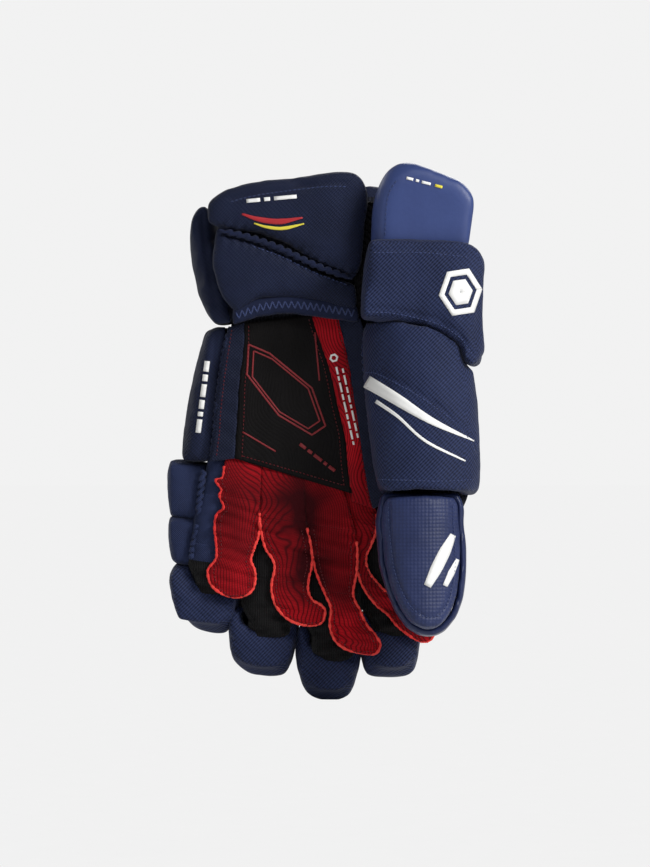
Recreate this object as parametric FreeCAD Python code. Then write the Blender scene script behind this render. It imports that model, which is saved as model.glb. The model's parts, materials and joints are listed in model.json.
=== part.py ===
import FreeCAD, Part
import math
import os

# Ice-hockey player's glove for the left hand, in millimetres.
#
# Frame: the origin is the centre of the hand opening. +Z points out of the cuff, the
# fingers point along -Z, the palm faces -Y, the thumb is on the +X side.
# Every padded piece is foam in a fabric cover and is drawn as one plain solid.

V = FreeCAD.Vector

# ---------------------------------------------------------------- driving dimensions

SKIN = 2.0                # leather and gusset thickness
SHELL = 1.6               # moulded plastic plates and splints
GAP = 0.5                 # clearance between neighbouring pieces
SEAM = 1.2                # clearance where two padded pieces meet at a fold

PALM_INNER_Y = -20.0      # inside face of the palm leather
PALM_OUTER_Y = PALM_INNER_Y - SKIN
HAND_BACK_Y = 20.0        # inside face of the backhand plate
BACK_ROLL_DEPTH = 27.0    # thickness of the backhand rolls

CUFF_FRONT_INNER_Y = -28.0
CUFF_BACK_INNER_Y = 33.0
CUFF_PAD = 15.0           # thickness of the palm cuff's upper pad
CUFF_LOWER_PAD = 11.0
CUFF_BINDING = 7.0
CUFF_BACK_PAD = 24.0

THUMB_INNER_Y = -36.0     # inner side of the thumb, before it is leaned outwards
THUMB_CENTRE_X = 60.0
THUMB_LEAN = 6.0          # degrees that the thumb leans away from the palm
THUMB_PIVOT = V(THUMB_CENTRE_X, -78.0, -78.0)

FINGER_BACK_Y = 2.0       # inside face of the finger's back
FINGER_ROLL_DEPTH = 24.0
FINGER_HINGE_Y = -9.0     # the finger's flex axes run through the middle of its cavity
FINGER_WALL = 1.5         # gusset thickness

CUFF_EDGE_ROUND = 5.0     # rounded edges of the padded pieces
CUFF_LOWER_ROUND = 3.0
CUFF_BACK_ROUND = 9.0
BACK_ROLL_ROUND = 10.0
SIDE_PAD_ROUND = 7.0
FINGER_ROLL_ROUND = 7.0
TOUCH = 0.01              # an edge nearer than this to a face lies on it
REACH = 60.0              # longer than any piece that a cutting shape has to pass through

PARTS = "parts"


# ---------------------------------------------------------------- shape helpers

def prism(points, plane, low, high):
    """Closed outline in one plane, pushed from low to high along the third axis."""
    place = {
        "xz": lambda a, b: V(a, low, b),
        "yz": lambda a, b: V(low, a, b),
        "xy": lambda a, b: V(a, b, low),
    }[plane]
    push = {"xz": V(0, 1, 0), "yz": V(1, 0, 0), "xy": V(0, 0, 1)}[plane]
    corners = [place(a, b) for a, b in points]
    face = Part.Face(Part.makePolygon(corners + corners[:1]))
    return face.extrude(push * (high - low))


def block(x0, x1, y0, y1, z0, z1):
    return Part.makeBox(x1 - x0, y1 - y0, z1 - z0, V(x0, y0, z0))


def rounded(shape, radius, keep):
    """Round the edges whose middle point passes the test keep(point)."""
    chosen = []
    for edge in shape.Edges:
        middle = edge.valueAt((edge.FirstParameter + edge.LastParameter) / 2)
        if keep(middle):
            chosen.append(edge)
    return shape.makeFillet(radius, chosen)


def rounded_face(shape, radius, y):
    """Round the edges that lie in the plane y."""
    return rounded(shape, radius, lambda p: abs(p.y - y) < TOUCH)


def elliptic_rod(centre_x, centre_y, half_x, half_y, z0, z1):
    """Upright rod with an elliptic section."""
    if half_x >= half_y:
        curve = Part.Ellipse(V(centre_x, centre_y, z0), half_x, half_y)
        wire = Part.Wire([curve.toShape()])
    else:
        curve = Part.Ellipse(V(centre_x, centre_y, z0), half_y, half_x)
        edge = curve.toShape()
        edge.rotate(V(centre_x, centre_y, z0), V(0, 0, 1), 90)
        wire = Part.Wire([edge])
    return Part.Face(wire).extrude(V(0, 0, z1 - z0))


def save(name, shape):
    if shape.isNull() or not shape.isValid():
        raise ValueError(name + " is not a valid shape")
    solids = shape.Solids
    result = solids[0] if len(solids) == 1 else Part.makeCompound(solids)
    result.exportStep(os.path.join(PARTS, name + ".step"))
    print("%-24s solids %d  volume %8.1f cm3" % (name, len(solids), result.Volume / 1000))


# ---------------------------------------------------------------- palm cuff

# The diagonal fold that splits the palm cuff into an upper and a lower pad,
# and the line along which the lower pad meets the binding.
CUFF_FOLD = [(-71, -17), (-51, -22), (-32, -29), (-9, -40), (13, -48.5)]
BINDING_TOP = [(-60.5, -66.5), (-44.5, -61), (-26.5, -60), (-9, -61), (14, -65)]
BINDING_BOTTOM = [(-60.5, -78), (-44.5, -73), (-28, -71), (-12, -73), (15, -76.5)]


def lowered(line, amount):
    return [(x, z - amount) for x, z in line]


def palm_cuff():
    inner = CUFF_FRONT_INNER_Y - SHELL - GAP
    top = [(-79, -12), (-78.5, 2), (-68, 9), (-52, 14), (-27, 17.5), (-3, 20), (9, 20.6),
           (17, 17.5), (22, 9), (23, 3), (21, -9), (19, -38)]
    upper = prism(top + CUFF_FOLD[::-1], "xz", inner - CUFF_PAD, inner)
    save("cuff_palm_upper_pad", rounded_face(upper, CUFF_EDGE_ROUND, inner - CUFF_PAD))

    fold = lowered(CUFF_FOLD, SEAM)
    lower_outline = fold + BINDING_TOP[::-1]
    lower_outline = lower_outline + [(-69, -56), (-74, -40)]
    lower = prism(lower_outline, "xz", inner - CUFF_LOWER_PAD, inner)
    save("cuff_palm_lower_pad", rounded_face(lower, CUFF_LOWER_ROUND, inner - CUFF_LOWER_PAD))

    binding_outline = lowered(BINDING_TOP, GAP) + BINDING_BOTTOM[::-1]
    save("cuff_palm_binding", prism(binding_outline, "xz", inner - CUFF_BINDING, inner))

    plate_outline = [(-72, 3), (-50, 9), (14, 13), (17, -40), (11, -72), (-57, -72), (-70, -40)]
    save("cuff_palm_plate", prism(plate_outline, "xz", inner + GAP, CUFF_FRONT_INNER_Y))


# ---------------------------------------------------------------- side, back and thumb cuff

CUFF_SIDE_Y = (-26.0, 29.0)


def side_cuff():
    outline = [(-80.5, -2), (-88.5, -9), (-91, -17), (-88, -34), (-84.5, -50), (-82, -64),
               (-79, -77), (-66, -77), (-68, -66), (-73, -48), (-76.5, -30), (-79, -13)]
    save("cuff_side_roll", prism(outline, "xz", *CUFF_SIDE_Y))


def back_cuff():
    inner = CUFF_BACK_INNER_Y
    outer = inner + SHELL + GAP + CUFF_BACK_PAD
    outline = [(-80, -8), (-70, 8), (-30, 16), (30, 16), (66, 8), (76, -8), (72, -74), (-74, -74)]
    roll = prism(outline, "xz", inner + SHELL + GAP, outer)
    save("cuff_back_roll", rounded_face(roll, CUFF_BACK_ROUND, outer))
    plate = [(-72, -8), (-30, 9), (30, 9), (68, -8), (64, -70), (-66, -70)]
    save("cuff_back_plate", prism(plate, "xz", inner, inner + SHELL))


PANEL_FRONT_Y = -68.0
PANEL_BACK_Y = -48.0
PANEL_WING_Y = 8.0        # how far the panel wraps round the thumb side
PANEL_BEVEL = 8.0         # bevel down the panel's inner edge
PANEL_BEVEL_X = 50.0      # the bevel ends here on the panel's top edge
BAND_FRONT_Y = -80.0      # the band stands proud of the thumb's padding, which goes under it
BAND_BACK_Y = -52.0
BAND_WING_Y = 12.0
BAND_ROUND = 8.0          # on the band's outer front edge
BAND_ROUND_X = 95.0

# The band's top edge lies over the bottom of the flat panel.
THUMB_CUFF_JOIN_Z = -25.0
BAND_BOTTOM = [(91, -105.5), (86.5, -91), (70, -82), (42.5, -76), (21, -75)]


def thumb_cuff():
    panel_end = THUMB_CUFF_JOIN_Z + GAP
    face = [(27, panel_end), (28, -2), (30, 7), (34, 16), (40, 22.5), (48, 26), (55, 25),
            (75, 18.5), (85, 15), (91, 10.5), (94, 4.5), (92.5, -5), (89, panel_end)]
    front = prism(face, "xz", PANEL_FRONT_Y, PANEL_BACK_Y)
    bevelled = []
    for edge in front.Edges:
        in_front = all(v.Y < PANEL_FRONT_Y + TOUCH for v in edge.Vertexes)
        if in_front and edge.CenterOfMass.x < PANEL_BEVEL_X:
            bevelled.append(edge)
    front = front.makeChamfer(PANEL_BEVEL, bevelled)
    wing = [(76, 17), (85, 14.5), (91, 10), (93.5, 4.5), (92, -5), (88.5, panel_end), (76, panel_end)]
    side = prism(wing, "xz", PANEL_BACK_Y - TOUCH, PANEL_WING_Y)
    save("cuff_thumb_panel", front.fuse(side).removeSplitter())

    band = [(25, THUMB_CUFF_JOIN_Z), (89, THUMB_CUFF_JOIN_Z), (96.5, -28.5), (100, -34), (98.5, -53),
            (98, -76), (100.5, -98), (99, -105)]
    front = prism(band + BAND_BOTTOM, "xz", BAND_FRONT_Y, BAND_BACK_Y)
    front = rounded(front, BAND_ROUND,
                    lambda p: p.y < BAND_FRONT_Y + TOUCH and p.x > BAND_ROUND_X)
    wing = [(82, -26), (96, -28.5), (99.5, -34), (98, -53), (97.5, -76), (100, -98),
            (98.5, -104.5), (91, -104.5), (86, -90), (82, -88)]
    side = prism(wing, "xz", BAND_BACK_Y - TOUCH, BAND_WING_Y)
    save("cuff_thumb_band", front.fuse(side).removeSplitter())


ELASTIC_Y = (-27.6, -24.6)


def elastic_notch():
    outline = [(22, -8), (33, -8), (33, -40), (30, -70), (17, -70), (18, -40)]
    save("cuff_elastic", prism(outline, "xz", *ELASTIC_Y))


# ---------------------------------------------------------------- hand

OVERLAY_RIGHT = [(-12, -74), (-9, -82), (-1, -106), (4.5, -130), (10.5, -156), (14.5, -187)]
STRIP_RIGHT = [(5, -76), (10, -94), (13.5, -110), (18.5, -144), (24.5, -185)]
WEB_RIGHT = [(16, -78), (22, -105), (26, -136), (31, -184)]
SIDE_PAD_Y = (-20.0, 18.0)
SIDE_PAD_ROUND_X = -80.0  # the pad's outer front edge, which is rounded, lies beyond this


def shifted(line, dx):
    return [(x + dx, z) for x, z in line]


def palm():
    sheet = [(-55, -80), (-44, -75), (14, -77), (20, -105), (24, -136), (29, -182), (17, -184),
             (-15, -182), (-46, -176), (-66, -162), (-61, -116), (-58, -82)]
    save("palm_sheet", prism(sheet, "xz", PALM_OUTER_Y, PALM_INNER_Y))

    outer = PALM_OUTER_Y - GAP
    overlay = [(-44.5, -73.5)] + OVERLAY_RIGHT
    overlay = overlay + [(-24.5, -178), (-62, -166), (-60, -116), (-56.5, -79)]
    save("palm_overlay", prism(overlay, "xz", outer - SKIN, outer))

    strip = shifted(OVERLAY_RIGHT, GAP) + STRIP_RIGHT[::-1]
    save("palm_thumb_strip", prism(strip, "xz", outer - SKIN, outer))

    web = shifted(STRIP_RIGHT, GAP) + WEB_RIGHT[::-1]
    save("thumb_web_strip", prism(web, "xz", outer - SKIN, outer))

    side = [(-57, -80), (-60.5, -116), (-62.5, -164), (-76, -167), (-72, -136), (-67.5, -82)]
    save("side_strip", prism(side, "xz", outer - SKIN, outer))

    pad = [(-82.5, -85), (-68.5, -82.5), (-72.5, -136), (-77.5, -168),
           (-97, -167.5), (-91, -122), (-84, -90)]
    pad = prism(pad, "xz", *SIDE_PAD_Y)
    pad = rounded(pad, SIDE_PAD_ROUND,
                  lambda p: p.x < SIDE_PAD_ROUND_X and abs(p.y - SIDE_PAD_Y[0]) < TOUCH)
    save("side_hand_pad", pad)


def backhand():
    plate = [(-80, -84), (56, -84), (58, -180), (-82, -168)]
    save("back_plate", prism(plate, "xz", HAND_BACK_Y, HAND_BACK_Y + SHELL))
    inner = HAND_BACK_Y + SHELL + GAP
    outer = inner + BACK_ROLL_DEPTH
    rolls = {
        "back_roll_wrist": [(-82, -80), (62, -80), (64, -112), (-88, -108)],
        "back_roll_middle": [(-88, -109.5), (64, -113.5), (64, -147), (-93, -138)],
        "back_roll_knuckle": [(-93, -139.5), (64, -148.5), (62, -186), (20, -187.5), (-14, -188),
                              (-46.5, -184), (-48, -175.5), (-92, -169.5)],
    }
    for name, outline in rolls.items():
        roll = prism(outline, "xz", inner, outer)
        save(name, rounded_face(roll, BACK_ROLL_ROUND, outer))


# ---------------------------------------------------------------- thumb

def leaned(shape):
    """Lean a thumb piece away from the palm about the thumb's base."""
    copy = shape.copy()
    copy.rotate(THUMB_PIVOT, V(1, 0, 0), -THUMB_LEAN)
    return copy


THUMB_BASE_OUTLINE = [(22, -78), (42, -79), (69, -85), (84, -94), (88.5, -108), (93, -109), (94, -128),
                      (97, -158), (98.4, -180), (95.5, -186), (36, -186), (32, -182), (29, -160),
                      (26, -136), (23, -105)]
THUMB_TIP_OUTLINE = [(34, -188.5), (30, -206), (32.5, -235), (36.5, -249), (42.5, -264), (50, -274.5),
                     (59, -280), (68, -280.5), (75, -277), (82.5, -268), (87, -256), (89, -239),
                     (89, -222), (87, -208), (88, -198), (84, -188.5)]
THUMB_HALF = 40.0         # half width of the padding's arch
THUMB_TIP_HALF = 33.0
THUMB_DEPTH = 42.0        # how far the padding stands out from the inner side
THUMB_TIP_DEPTH = 38.0
THUMB_CAVITY = 22.0       # half width of the space for the thumb at its base
THUMB_TIP_CAVITY = 15.0
THUMB_TIP_CAVITY_Y = 18.0
THUMB_TIP_END_Z = -262.0  # the thumb's space ends here
THUMB_BASE_END_Z = -200.0  # below the base, so that its space is open at the fold
THUMB_BORDER = 5.0
THUMB_BORDER_DEPTH = 22.0
THUMB_SPLINT_EDGE = 3.0   # the splint's edge stands this far out from the inner side
THUMB_BASE_SPLINT_Z = (-184.0, -112.0)
THUMB_TIP_SPLINT_Z = (-258.0, -194.0)


def thumb_arch(outline, half_x, depth, cavity_x, cavity_y, end_z):
    """Padding that arches over the thumb; the space inside stops at end_z."""
    low = min(z for x, z in outline) - SEAM
    high = max(z for x, z in outline) + SEAM
    outer = elliptic_rod(THUMB_CENTRE_X, THUMB_INNER_Y, half_x, depth, low, high)
    hollow = elliptic_rod(THUMB_CENTRE_X, THUMB_INNER_Y, cavity_x, cavity_y, end_z, high + SEAM)
    body = prism(outline, "xz", THUMB_INNER_Y - REACH, THUMB_INNER_Y)
    return body.common(outer).cut(hollow)


def thumb_splint(cavity_x, cavity_y, z0, z1):
    """Thin hard shell between the padding and the thumb."""
    outer = elliptic_rod(THUMB_CENTRE_X, THUMB_INNER_Y, cavity_x - GAP, cavity_y - GAP, z0, z1)
    inner_x = cavity_x - GAP - SHELL
    inner_y = cavity_y - GAP - SHELL
    inner = elliptic_rod(THUMB_CENTRE_X, THUMB_INNER_Y, inner_x, inner_y, z0 - SEAM, z1 + SEAM)
    front_half = block(THUMB_CENTRE_X - REACH, THUMB_CENTRE_X + REACH, THUMB_INNER_Y - REACH,
                       THUMB_INNER_Y - THUMB_SPLINT_EDGE, z0 - SEAM, z1 + SEAM)
    return outer.cut(inner).common(front_half)


def thumb_gusset(outline):
    """Flat fabric that closes the thumb's inner side."""
    return prism(outline, "xz", THUMB_INNER_Y + GAP, THUMB_INNER_Y + GAP + SKIN)


def thumb():
    pad = thumb_arch(THUMB_BASE_OUTLINE, THUMB_HALF, THUMB_DEPTH, THUMB_CAVITY, THUMB_CAVITY,
                     THUMB_BASE_END_Z)
    save("thumb_base_pad", leaned(pad))
    save("thumb_base_splint", leaned(thumb_splint(THUMB_CAVITY, THUMB_CAVITY, *THUMB_BASE_SPLINT_Z)))
    gusset = [(34, -132), (88, -132), (92, -184), (40, -184)]
    save("thumb_base_gusset", leaned(thumb_gusset(gusset)))

    corners = [V(x, THUMB_INNER_Y, z) for x, z in THUMB_TIP_OUTLINE + THUMB_TIP_OUTLINE[:1]]
    face = Part.Face(Part.makePolygon(corners))
    tip = thumb_arch(THUMB_TIP_OUTLINE, THUMB_TIP_HALF, THUMB_TIP_DEPTH, THUMB_TIP_CAVITY,
                     THUMB_TIP_CAVITY_Y, THUMB_TIP_END_Z)
    inside_border = face.makeOffset2D(-THUMB_BORDER).extrude(V(0, -REACH, 0))
    save("thumb_tip_pad", leaned(tip.common(inside_border)))
    with_gap = face.makeOffset2D(-THUMB_BORDER + GAP).extrude(V(0, -REACH, 0))
    box = face.BoundBox
    frame_depth = block(box.XMin, box.XMax, THUMB_INNER_Y - THUMB_BORDER_DEPTH, THUMB_INNER_Y,
                        box.ZMin, box.ZMax)
    border = tip.cut(with_gap).common(frame_depth)
    largest = max(border.Solids, key=lambda solid: solid.Volume)
    save("thumb_tip_border", leaned(largest))
    splint = thumb_splint(THUMB_TIP_CAVITY, THUMB_TIP_CAVITY_Y, *THUMB_TIP_SPLINT_Z)
    save("thumb_tip_splint", leaned(splint))
    gusset = [(44, -193), (76, -193), (76, -262), (46, -262)]
    save("thumb_tip_gusset", leaned(thumb_gusset(gusset)))


# ---------------------------------------------------------------- fingers

# Each finger: knuckle point (x, z), degrees that it fans out, length of its three segments,
# half widths to its left and right at the knuckle and at the end, how far the fingertip's two
# lower corners are rounded off (sideways, upwards), and the thickness of the padding down the
# little finger's outer side.
FINGERS = {
    "index": dict(knuckle=(38.0, -189.0), fan=0.5, lengths=(42, 36, 46), left=(16.0, 16.5),
                  right=(16.0, 17.5), toe_left=(9, 6), toe_right=(8, 15), side_roll=0),
    "middle": dict(knuckle=(3.0, -190.0), fan=-2.0, lengths=(46, 40, 52), left=(16.0, 17.5),
                   right=(16.5, 17.5), toe_left=(12, 19), toe_right=(10, 16), side_roll=0),
    "ring": dict(knuckle=(-32.5, -187.0), fan=-6.5, lengths=(42, 38, 45), left=(17.0, 20.0),
                 right=(16.5, 17.0), toe_left=(14, 28), toe_right=(8, 7), side_roll=0),
    "pinky": dict(knuckle=(-68.0, -174.5), fan=-7.5, lengths=(36, 31, 42), left=(37.0, 20.5),
                  right=(16.8, 14.0), toe_left=(16, 28), toe_right=(7, 6), side_roll=20),
}
CAVITY_HALF = 11.0        # half width of the space for a finger
# Largest flex at the knuckle, at the middle break and at the fingertip, in degrees.
FLEX = {"index": (20, 24, 14), "middle": (40, 45, 27), "ring": (40, 45, 27),
        "pinky": (40, 45, 27)}
PALM_OVER_END = 20.0      # how far the fingertip cap runs past the palm leather
CAP_END_WALL = 15.0       # padding at the very end of the fingertip
TOE_BULGE = 0.28          # how full a fingertip's rounded corner is
SIDE_ROLL_FRONT_Y = -14.0  # how far the little finger's rolls come round its side
SIDE_ROLL_LAP = 8.0       # how deep a side roll runs into the roll on the finger's back
LEATHER_LAP = 3.0         # the palm leather is this much wider than the finger's space, each side
FOLD_MARGIN = 1.15        # spare room at a fold
CAP_BACK_TOP = 16.0       # the cap's back face ends this far above the fingertip, then slopes in
CAP_BACK_MIDDLE = (9.0, 4.0)
CAP_BACK_LOW = 20.0
CAP_FRONT_UP = 12.0       # and its palm face this far above it


def relief(angle):
    """Room that the palm side needs at a break to fold by the given angle."""
    lever = FINGER_HINGE_Y - (PALM_OUTER_Y - SKIN)
    return lever * math.radians(angle / 2) * FOLD_MARGIN + SEAM


def toe(x, z, across, up):
    """A fingertip's rounded lower corner: from up its side, round, to along its end."""
    return [(x, z + up), (x + TOE_BULGE * across, z + TOE_BULGE * up), (x + across, z)]


def finger(name):
    f = FINGERS[name]
    joints = [0.0]
    for length in f["lengths"]:
        joints.append(joints[-1] - length)
    end = joints[3]
    rest = [relief(angle) for angle in FLEX[name]]

    def left(z):
        return -(f["left"][0] + (f["left"][1] - f["left"][0]) * z / end)

    def right(z):
        return f["right"][0] + (f["right"][1] - f["right"][0]) * z / end

    def placed(shape):
        copy = shape.copy()
        copy.rotate(V(0, 0, 0), V(0, 1, 0), -f["fan"])
        copy.translate(V(f["knuckle"][0], 0, f["knuckle"][1]))
        return copy

    def leather(high, low):
        half = CAVITY_HALF + LEATHER_LAP
        return block(-half, half, PALM_OUTER_Y, PALM_INNER_Y, low, high)

    cavity_left, cavity_right = -CAVITY_HALF, CAVITY_HALF
    roll_inner = FINGER_BACK_Y + GAP
    roll_outer = roll_inner + FINGER_ROLL_DEPTH

    for index, segment in enumerate(("proximal", "middle")):
        top = joints[index] - SEAM / 2
        bottom = joints[index + 1] + SEAM / 2
        outline = [(left(top), top), (right(top), top), (right(bottom), bottom),
                   (left(bottom), bottom)]
        roll = prism(outline, "xz", roll_inner, roll_outer)
        roll = rounded_face(roll, FINGER_ROLL_ROUND, roll_outer)
        if f["side_roll"]:
            inner_x = cavity_left - FINGER_WALL - GAP
            side = [(left(top), top), (inner_x, top), (inner_x, bottom), (left(bottom), bottom)]
            side = prism(side, "xz", SIDE_ROLL_FRONT_Y, roll_inner + SIDE_ROLL_LAP)
            share = (FINGER_HINGE_Y - SIDE_ROLL_FRONT_Y) / (FINGER_HINGE_Y - PALM_OUTER_Y)
            notches = [
                (FINGER_HINGE_Y, top), (SIDE_ROLL_FRONT_Y, top - share * rest[index]),
                (SIDE_ROLL_FRONT_Y, bottom + share * rest[index + 1]), (FINGER_HINGE_Y, bottom),
                (roll_outer, bottom), (roll_outer, top),
            ]
            roll = roll.fuse(side.common(prism(notches, "yz", -REACH, REACH))).removeSplitter()
        save(name + "_" + segment + "_roll", placed(roll))

        high = top - rest[index]
        low = bottom + rest[index + 1]
        profile = [(FINGER_BACK_Y, top), (FINGER_HINGE_Y, top), (PALM_INNER_Y + GAP, high),
                   (PALM_INNER_Y + GAP, low), (FINGER_HINGE_Y, bottom), (FINGER_BACK_Y, bottom)]
        walls = [
            prism(profile, "yz", cavity_left - FINGER_WALL, cavity_left),
            prism(profile, "yz", cavity_right, cavity_right + FINGER_WALL),
        ]
        save(name + "_" + segment + "_gusset", placed(Part.makeCompound(walls)))

        save(name + "_" + segment + "_palm", placed(leather(high, low)))

    top = joints[2] - SEAM / 2
    front = [(left(top), top), (right(top), top)]
    front = front + toe(right(end), end, -f["toe_right"][0], f["toe_right"][1])
    front = front + toe(left(end), end, f["toe_left"][0], f["toe_left"][1])[::-1]
    side = [(roll_outer, top), (roll_outer, end + CAP_BACK_TOP),
            (roll_outer - CAP_BACK_MIDDLE[0], end + CAP_BACK_MIDDLE[1]),
            (roll_outer - CAP_BACK_LOW, end), (FINGER_HINGE_Y, end),
            (PALM_INNER_Y + GAP, end + CAP_FRONT_UP), (PALM_INNER_Y + GAP, top - rest[2]),
            (FINGER_HINGE_Y, top)]
    cap = prism(front, "xz", -REACH, REACH).common(prism(side, "yz", -REACH, REACH))
    cavity = block(cavity_left, cavity_right, -REACH, FINGER_BACK_Y, end + CAP_END_WALL, top + SEAM)
    save(name + "_tip_cap", placed(cap.cut(cavity)))
    save(name + "_tip_palm", placed(leather(top - rest[2], end + PALM_OVER_END)))


# ---------------------------------------------------------------- the glove

def main():
    os.makedirs(PARTS, exist_ok=True)
    palm_cuff()
    side_cuff()
    back_cuff()
    thumb_cuff()
    elastic_notch()
    palm()
    backhand()
    thumb()
    for name in FINGERS:
        finger(name)


main()
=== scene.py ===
import json
import math
from collections import namedtuple

import bmesh
import bpy
import numpy as np
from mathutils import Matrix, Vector
from mathutils.bvhtree import BVHTree


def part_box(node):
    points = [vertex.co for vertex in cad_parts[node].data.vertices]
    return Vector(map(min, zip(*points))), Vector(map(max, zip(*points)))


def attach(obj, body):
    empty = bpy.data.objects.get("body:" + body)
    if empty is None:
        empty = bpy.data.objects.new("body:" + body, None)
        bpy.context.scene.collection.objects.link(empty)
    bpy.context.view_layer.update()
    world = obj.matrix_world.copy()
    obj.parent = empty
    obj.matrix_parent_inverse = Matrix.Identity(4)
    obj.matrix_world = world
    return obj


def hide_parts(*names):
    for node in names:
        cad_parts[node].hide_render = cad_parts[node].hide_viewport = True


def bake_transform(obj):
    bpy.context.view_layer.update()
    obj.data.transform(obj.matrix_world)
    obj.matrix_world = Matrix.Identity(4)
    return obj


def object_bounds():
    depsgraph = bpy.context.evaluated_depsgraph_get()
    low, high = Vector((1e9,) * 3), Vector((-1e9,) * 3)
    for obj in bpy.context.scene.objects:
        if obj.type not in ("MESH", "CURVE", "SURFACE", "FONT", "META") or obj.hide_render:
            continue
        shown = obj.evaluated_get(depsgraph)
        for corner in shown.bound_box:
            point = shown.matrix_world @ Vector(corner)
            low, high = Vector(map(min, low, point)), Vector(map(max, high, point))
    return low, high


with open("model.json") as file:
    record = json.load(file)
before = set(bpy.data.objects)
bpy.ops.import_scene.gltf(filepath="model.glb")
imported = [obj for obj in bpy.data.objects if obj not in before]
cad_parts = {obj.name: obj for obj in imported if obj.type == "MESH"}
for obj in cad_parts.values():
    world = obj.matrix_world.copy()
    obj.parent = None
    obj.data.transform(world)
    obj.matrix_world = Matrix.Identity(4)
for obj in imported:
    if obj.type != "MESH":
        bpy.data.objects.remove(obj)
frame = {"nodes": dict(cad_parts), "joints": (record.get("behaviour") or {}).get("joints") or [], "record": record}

# The hockey glove's looks. Lengths in the tables below are millimetres in the row frame:
# +X thumb side, -Y palm side, +Z out of the cuff. MM turns them into metres.

CAD_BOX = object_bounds()
NODES = frame["nodes"]
JOINTS = {joint["name"]: joint for joint in frame["joints"]}
MM = 0.001
FINGERS = ("index", "middle", "ring", "pinky")


def box_mm(node):
    """Lowest and highest corner of a CAD node, in millimetres."""
    low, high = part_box(node)
    return np.array(low) / MM, np.array(high) / MM


# ---------------------------------------------------------------- small mesh tools

SPLINE_STEPS = 24         # samples between two given points, before they are spaced evenly


def run_along(points):
    """How far along a polyline each of its points lies."""
    return np.concatenate([[0], np.cumsum(np.linalg.norm(np.diff(points, axis=0), axis=1))])


def spline(points, count):
    """Smooth curve through given points, sampled evenly along its length."""
    pts = np.array(points, float)
    ext = np.vstack([2 * pts[0] - pts[1], pts, 2 * pts[-1] - pts[-2]])
    out = []
    for i in range(1, len(ext) - 2):
        a, b, c, d = ext[i - 1:i + 3]
        for t in np.linspace(0, 1, SPLINE_STEPS, endpoint=False):
            out.append(0.5 * (2 * b + (c - a) * t + (2 * a - 5 * b + 4 * c - d) * t ** 2
                              + (3 * b - a - 3 * c + d) * t ** 3))
    out.append(ext[-2])
    out = np.array(out)
    run = run_along(out)
    places = np.linspace(0, run[-1], count)
    return np.stack([np.interp(places, run, out[:, k]) for k in range(out.shape[1])], axis=1)


def new_object(name, verts_mm, faces, *materials):
    """A smooth-shaded object in the scene, from points in millimetres."""
    mesh = bpy.data.meshes.new(name)
    mesh.from_pydata([tuple(v) for v in np.array(verts_mm) * MM], [], faces)
    mesh.update()
    obj = bpy.data.objects.new(name, mesh)
    bpy.context.scene.collection.objects.link(obj)
    for material in materials:
        obj.data.materials.append(material)
    shade_smooth(obj)
    return obj


def face_outwards(obj):
    """Turn every face of a closed mesh to the outside."""
    work = bmesh.new()
    work.from_mesh(obj.data)
    bmesh.ops.recalc_face_normals(work, faces=work.faces)
    work.to_mesh(obj.data)
    work.free()
    return obj


class Shape:
    """Points in millimetres and faces, each face with a material number; parts are added, then made."""

    def __init__(self):
        self.verts = []
        self.faces = []
        self.slots = []

    def add(self, verts, faces, slot=0):
        start = len(self.verts)
        self.verts.extend(tuple(v) for v in verts)
        self.faces.extend(tuple(start + i for i in face) for face in faces)
        self.slots.extend([slot] * len(faces))

    def add_grid(self, grid, normal, thickness, slot=0):
        """A sheet of that thickness on a rows x columns grid of points."""
        rows, columns = grid.shape[:2]
        half = normal * (thickness / 2)
        verts = np.concatenate([(grid + half).reshape(-1, 3), (grid - half).reshape(-1, 3)])
        n = rows * columns
        front = grid_faces(rows, columns)
        back = [tuple(n + i for i in face[::-1]) for face in front]
        edge = []
        for i in range(rows - 1):
            a, b = i * columns, (i + 1) * columns
            edge.append((a, n + a, n + b, b))
            edge.append((b + columns - 1, n + b + columns - 1, n + a + columns - 1, a + columns - 1))
        last = (rows - 1) * columns
        for j in range(columns - 1):
            edge.append((j, j + 1, n + j + 1, n + j))
            edge.append((last + j + 1, last + j, n + last + j, n + last + j + 1))
        self.add(verts, front + back + edge, slot)

    def add_tube(self, path, radius, slot=0, sides=8, ripple=0.0, ripples=0, taper=True):
        """Welt, piping or a rolled edge along a path; a ripple makes it pucker."""
        path = np.array(path, float)
        count = len(path)
        tangent = np.gradient(path, axis=0)
        tangent /= np.maximum(np.linalg.norm(tangent, axis=1), 1e-9)[:, None]
        side = np.cross(tangent, [0, 1, 0])
        side /= np.maximum(np.linalg.norm(side, axis=1), 1e-6)[:, None]
        up = np.cross(side, tangent)
        share = np.arange(count) / max(count - 1, 1)
        size = radius * (1 + ripple * np.sin(2 * math.pi * ripples * share))
        if taper:
            size = size * np.minimum(1, 0.3 + 8 * np.minimum(share, 1 - share))
        turn = 2 * math.pi * np.arange(sides) / sides
        cosines, sines = np.cos(turn)[None, :, None], np.sin(turn)[None, :, None]
        around = side[:, None] * cosines + up[:, None] * sines
        verts = (path[:, None] + around * size[:, None, None]).reshape(-1, 3)
        faces = grid_faces(count, sides, wrap=True)
        faces.append(tuple(range(sides))[::-1])
        faces.append(tuple((count - 1) * sides + k for k in range(sides)))
        self.add(verts, faces, slot)

    def add_stitch(self, a, b, radius, slot=0):
        """One stitch: a small thread lump from a to b."""
        a, b = np.array(a, float), np.array(b, float)
        path = [a + (b - a) * t for t in (0.0, 0.2, 0.5, 0.8, 1.0)]
        self.add_tube(path, radius, slot, sides=6, taper=True)

    def make(self, name, *materials):
        obj = new_object(name, self.verts, self.faces, *materials)
        obj.data.polygons.foreach_set("material_index", self.slots)
        return face_outwards(obj)


def shade_smooth(obj):
    obj.data.polygons.foreach_set("use_smooth", [True] * len(obj.data.polygons))


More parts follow.
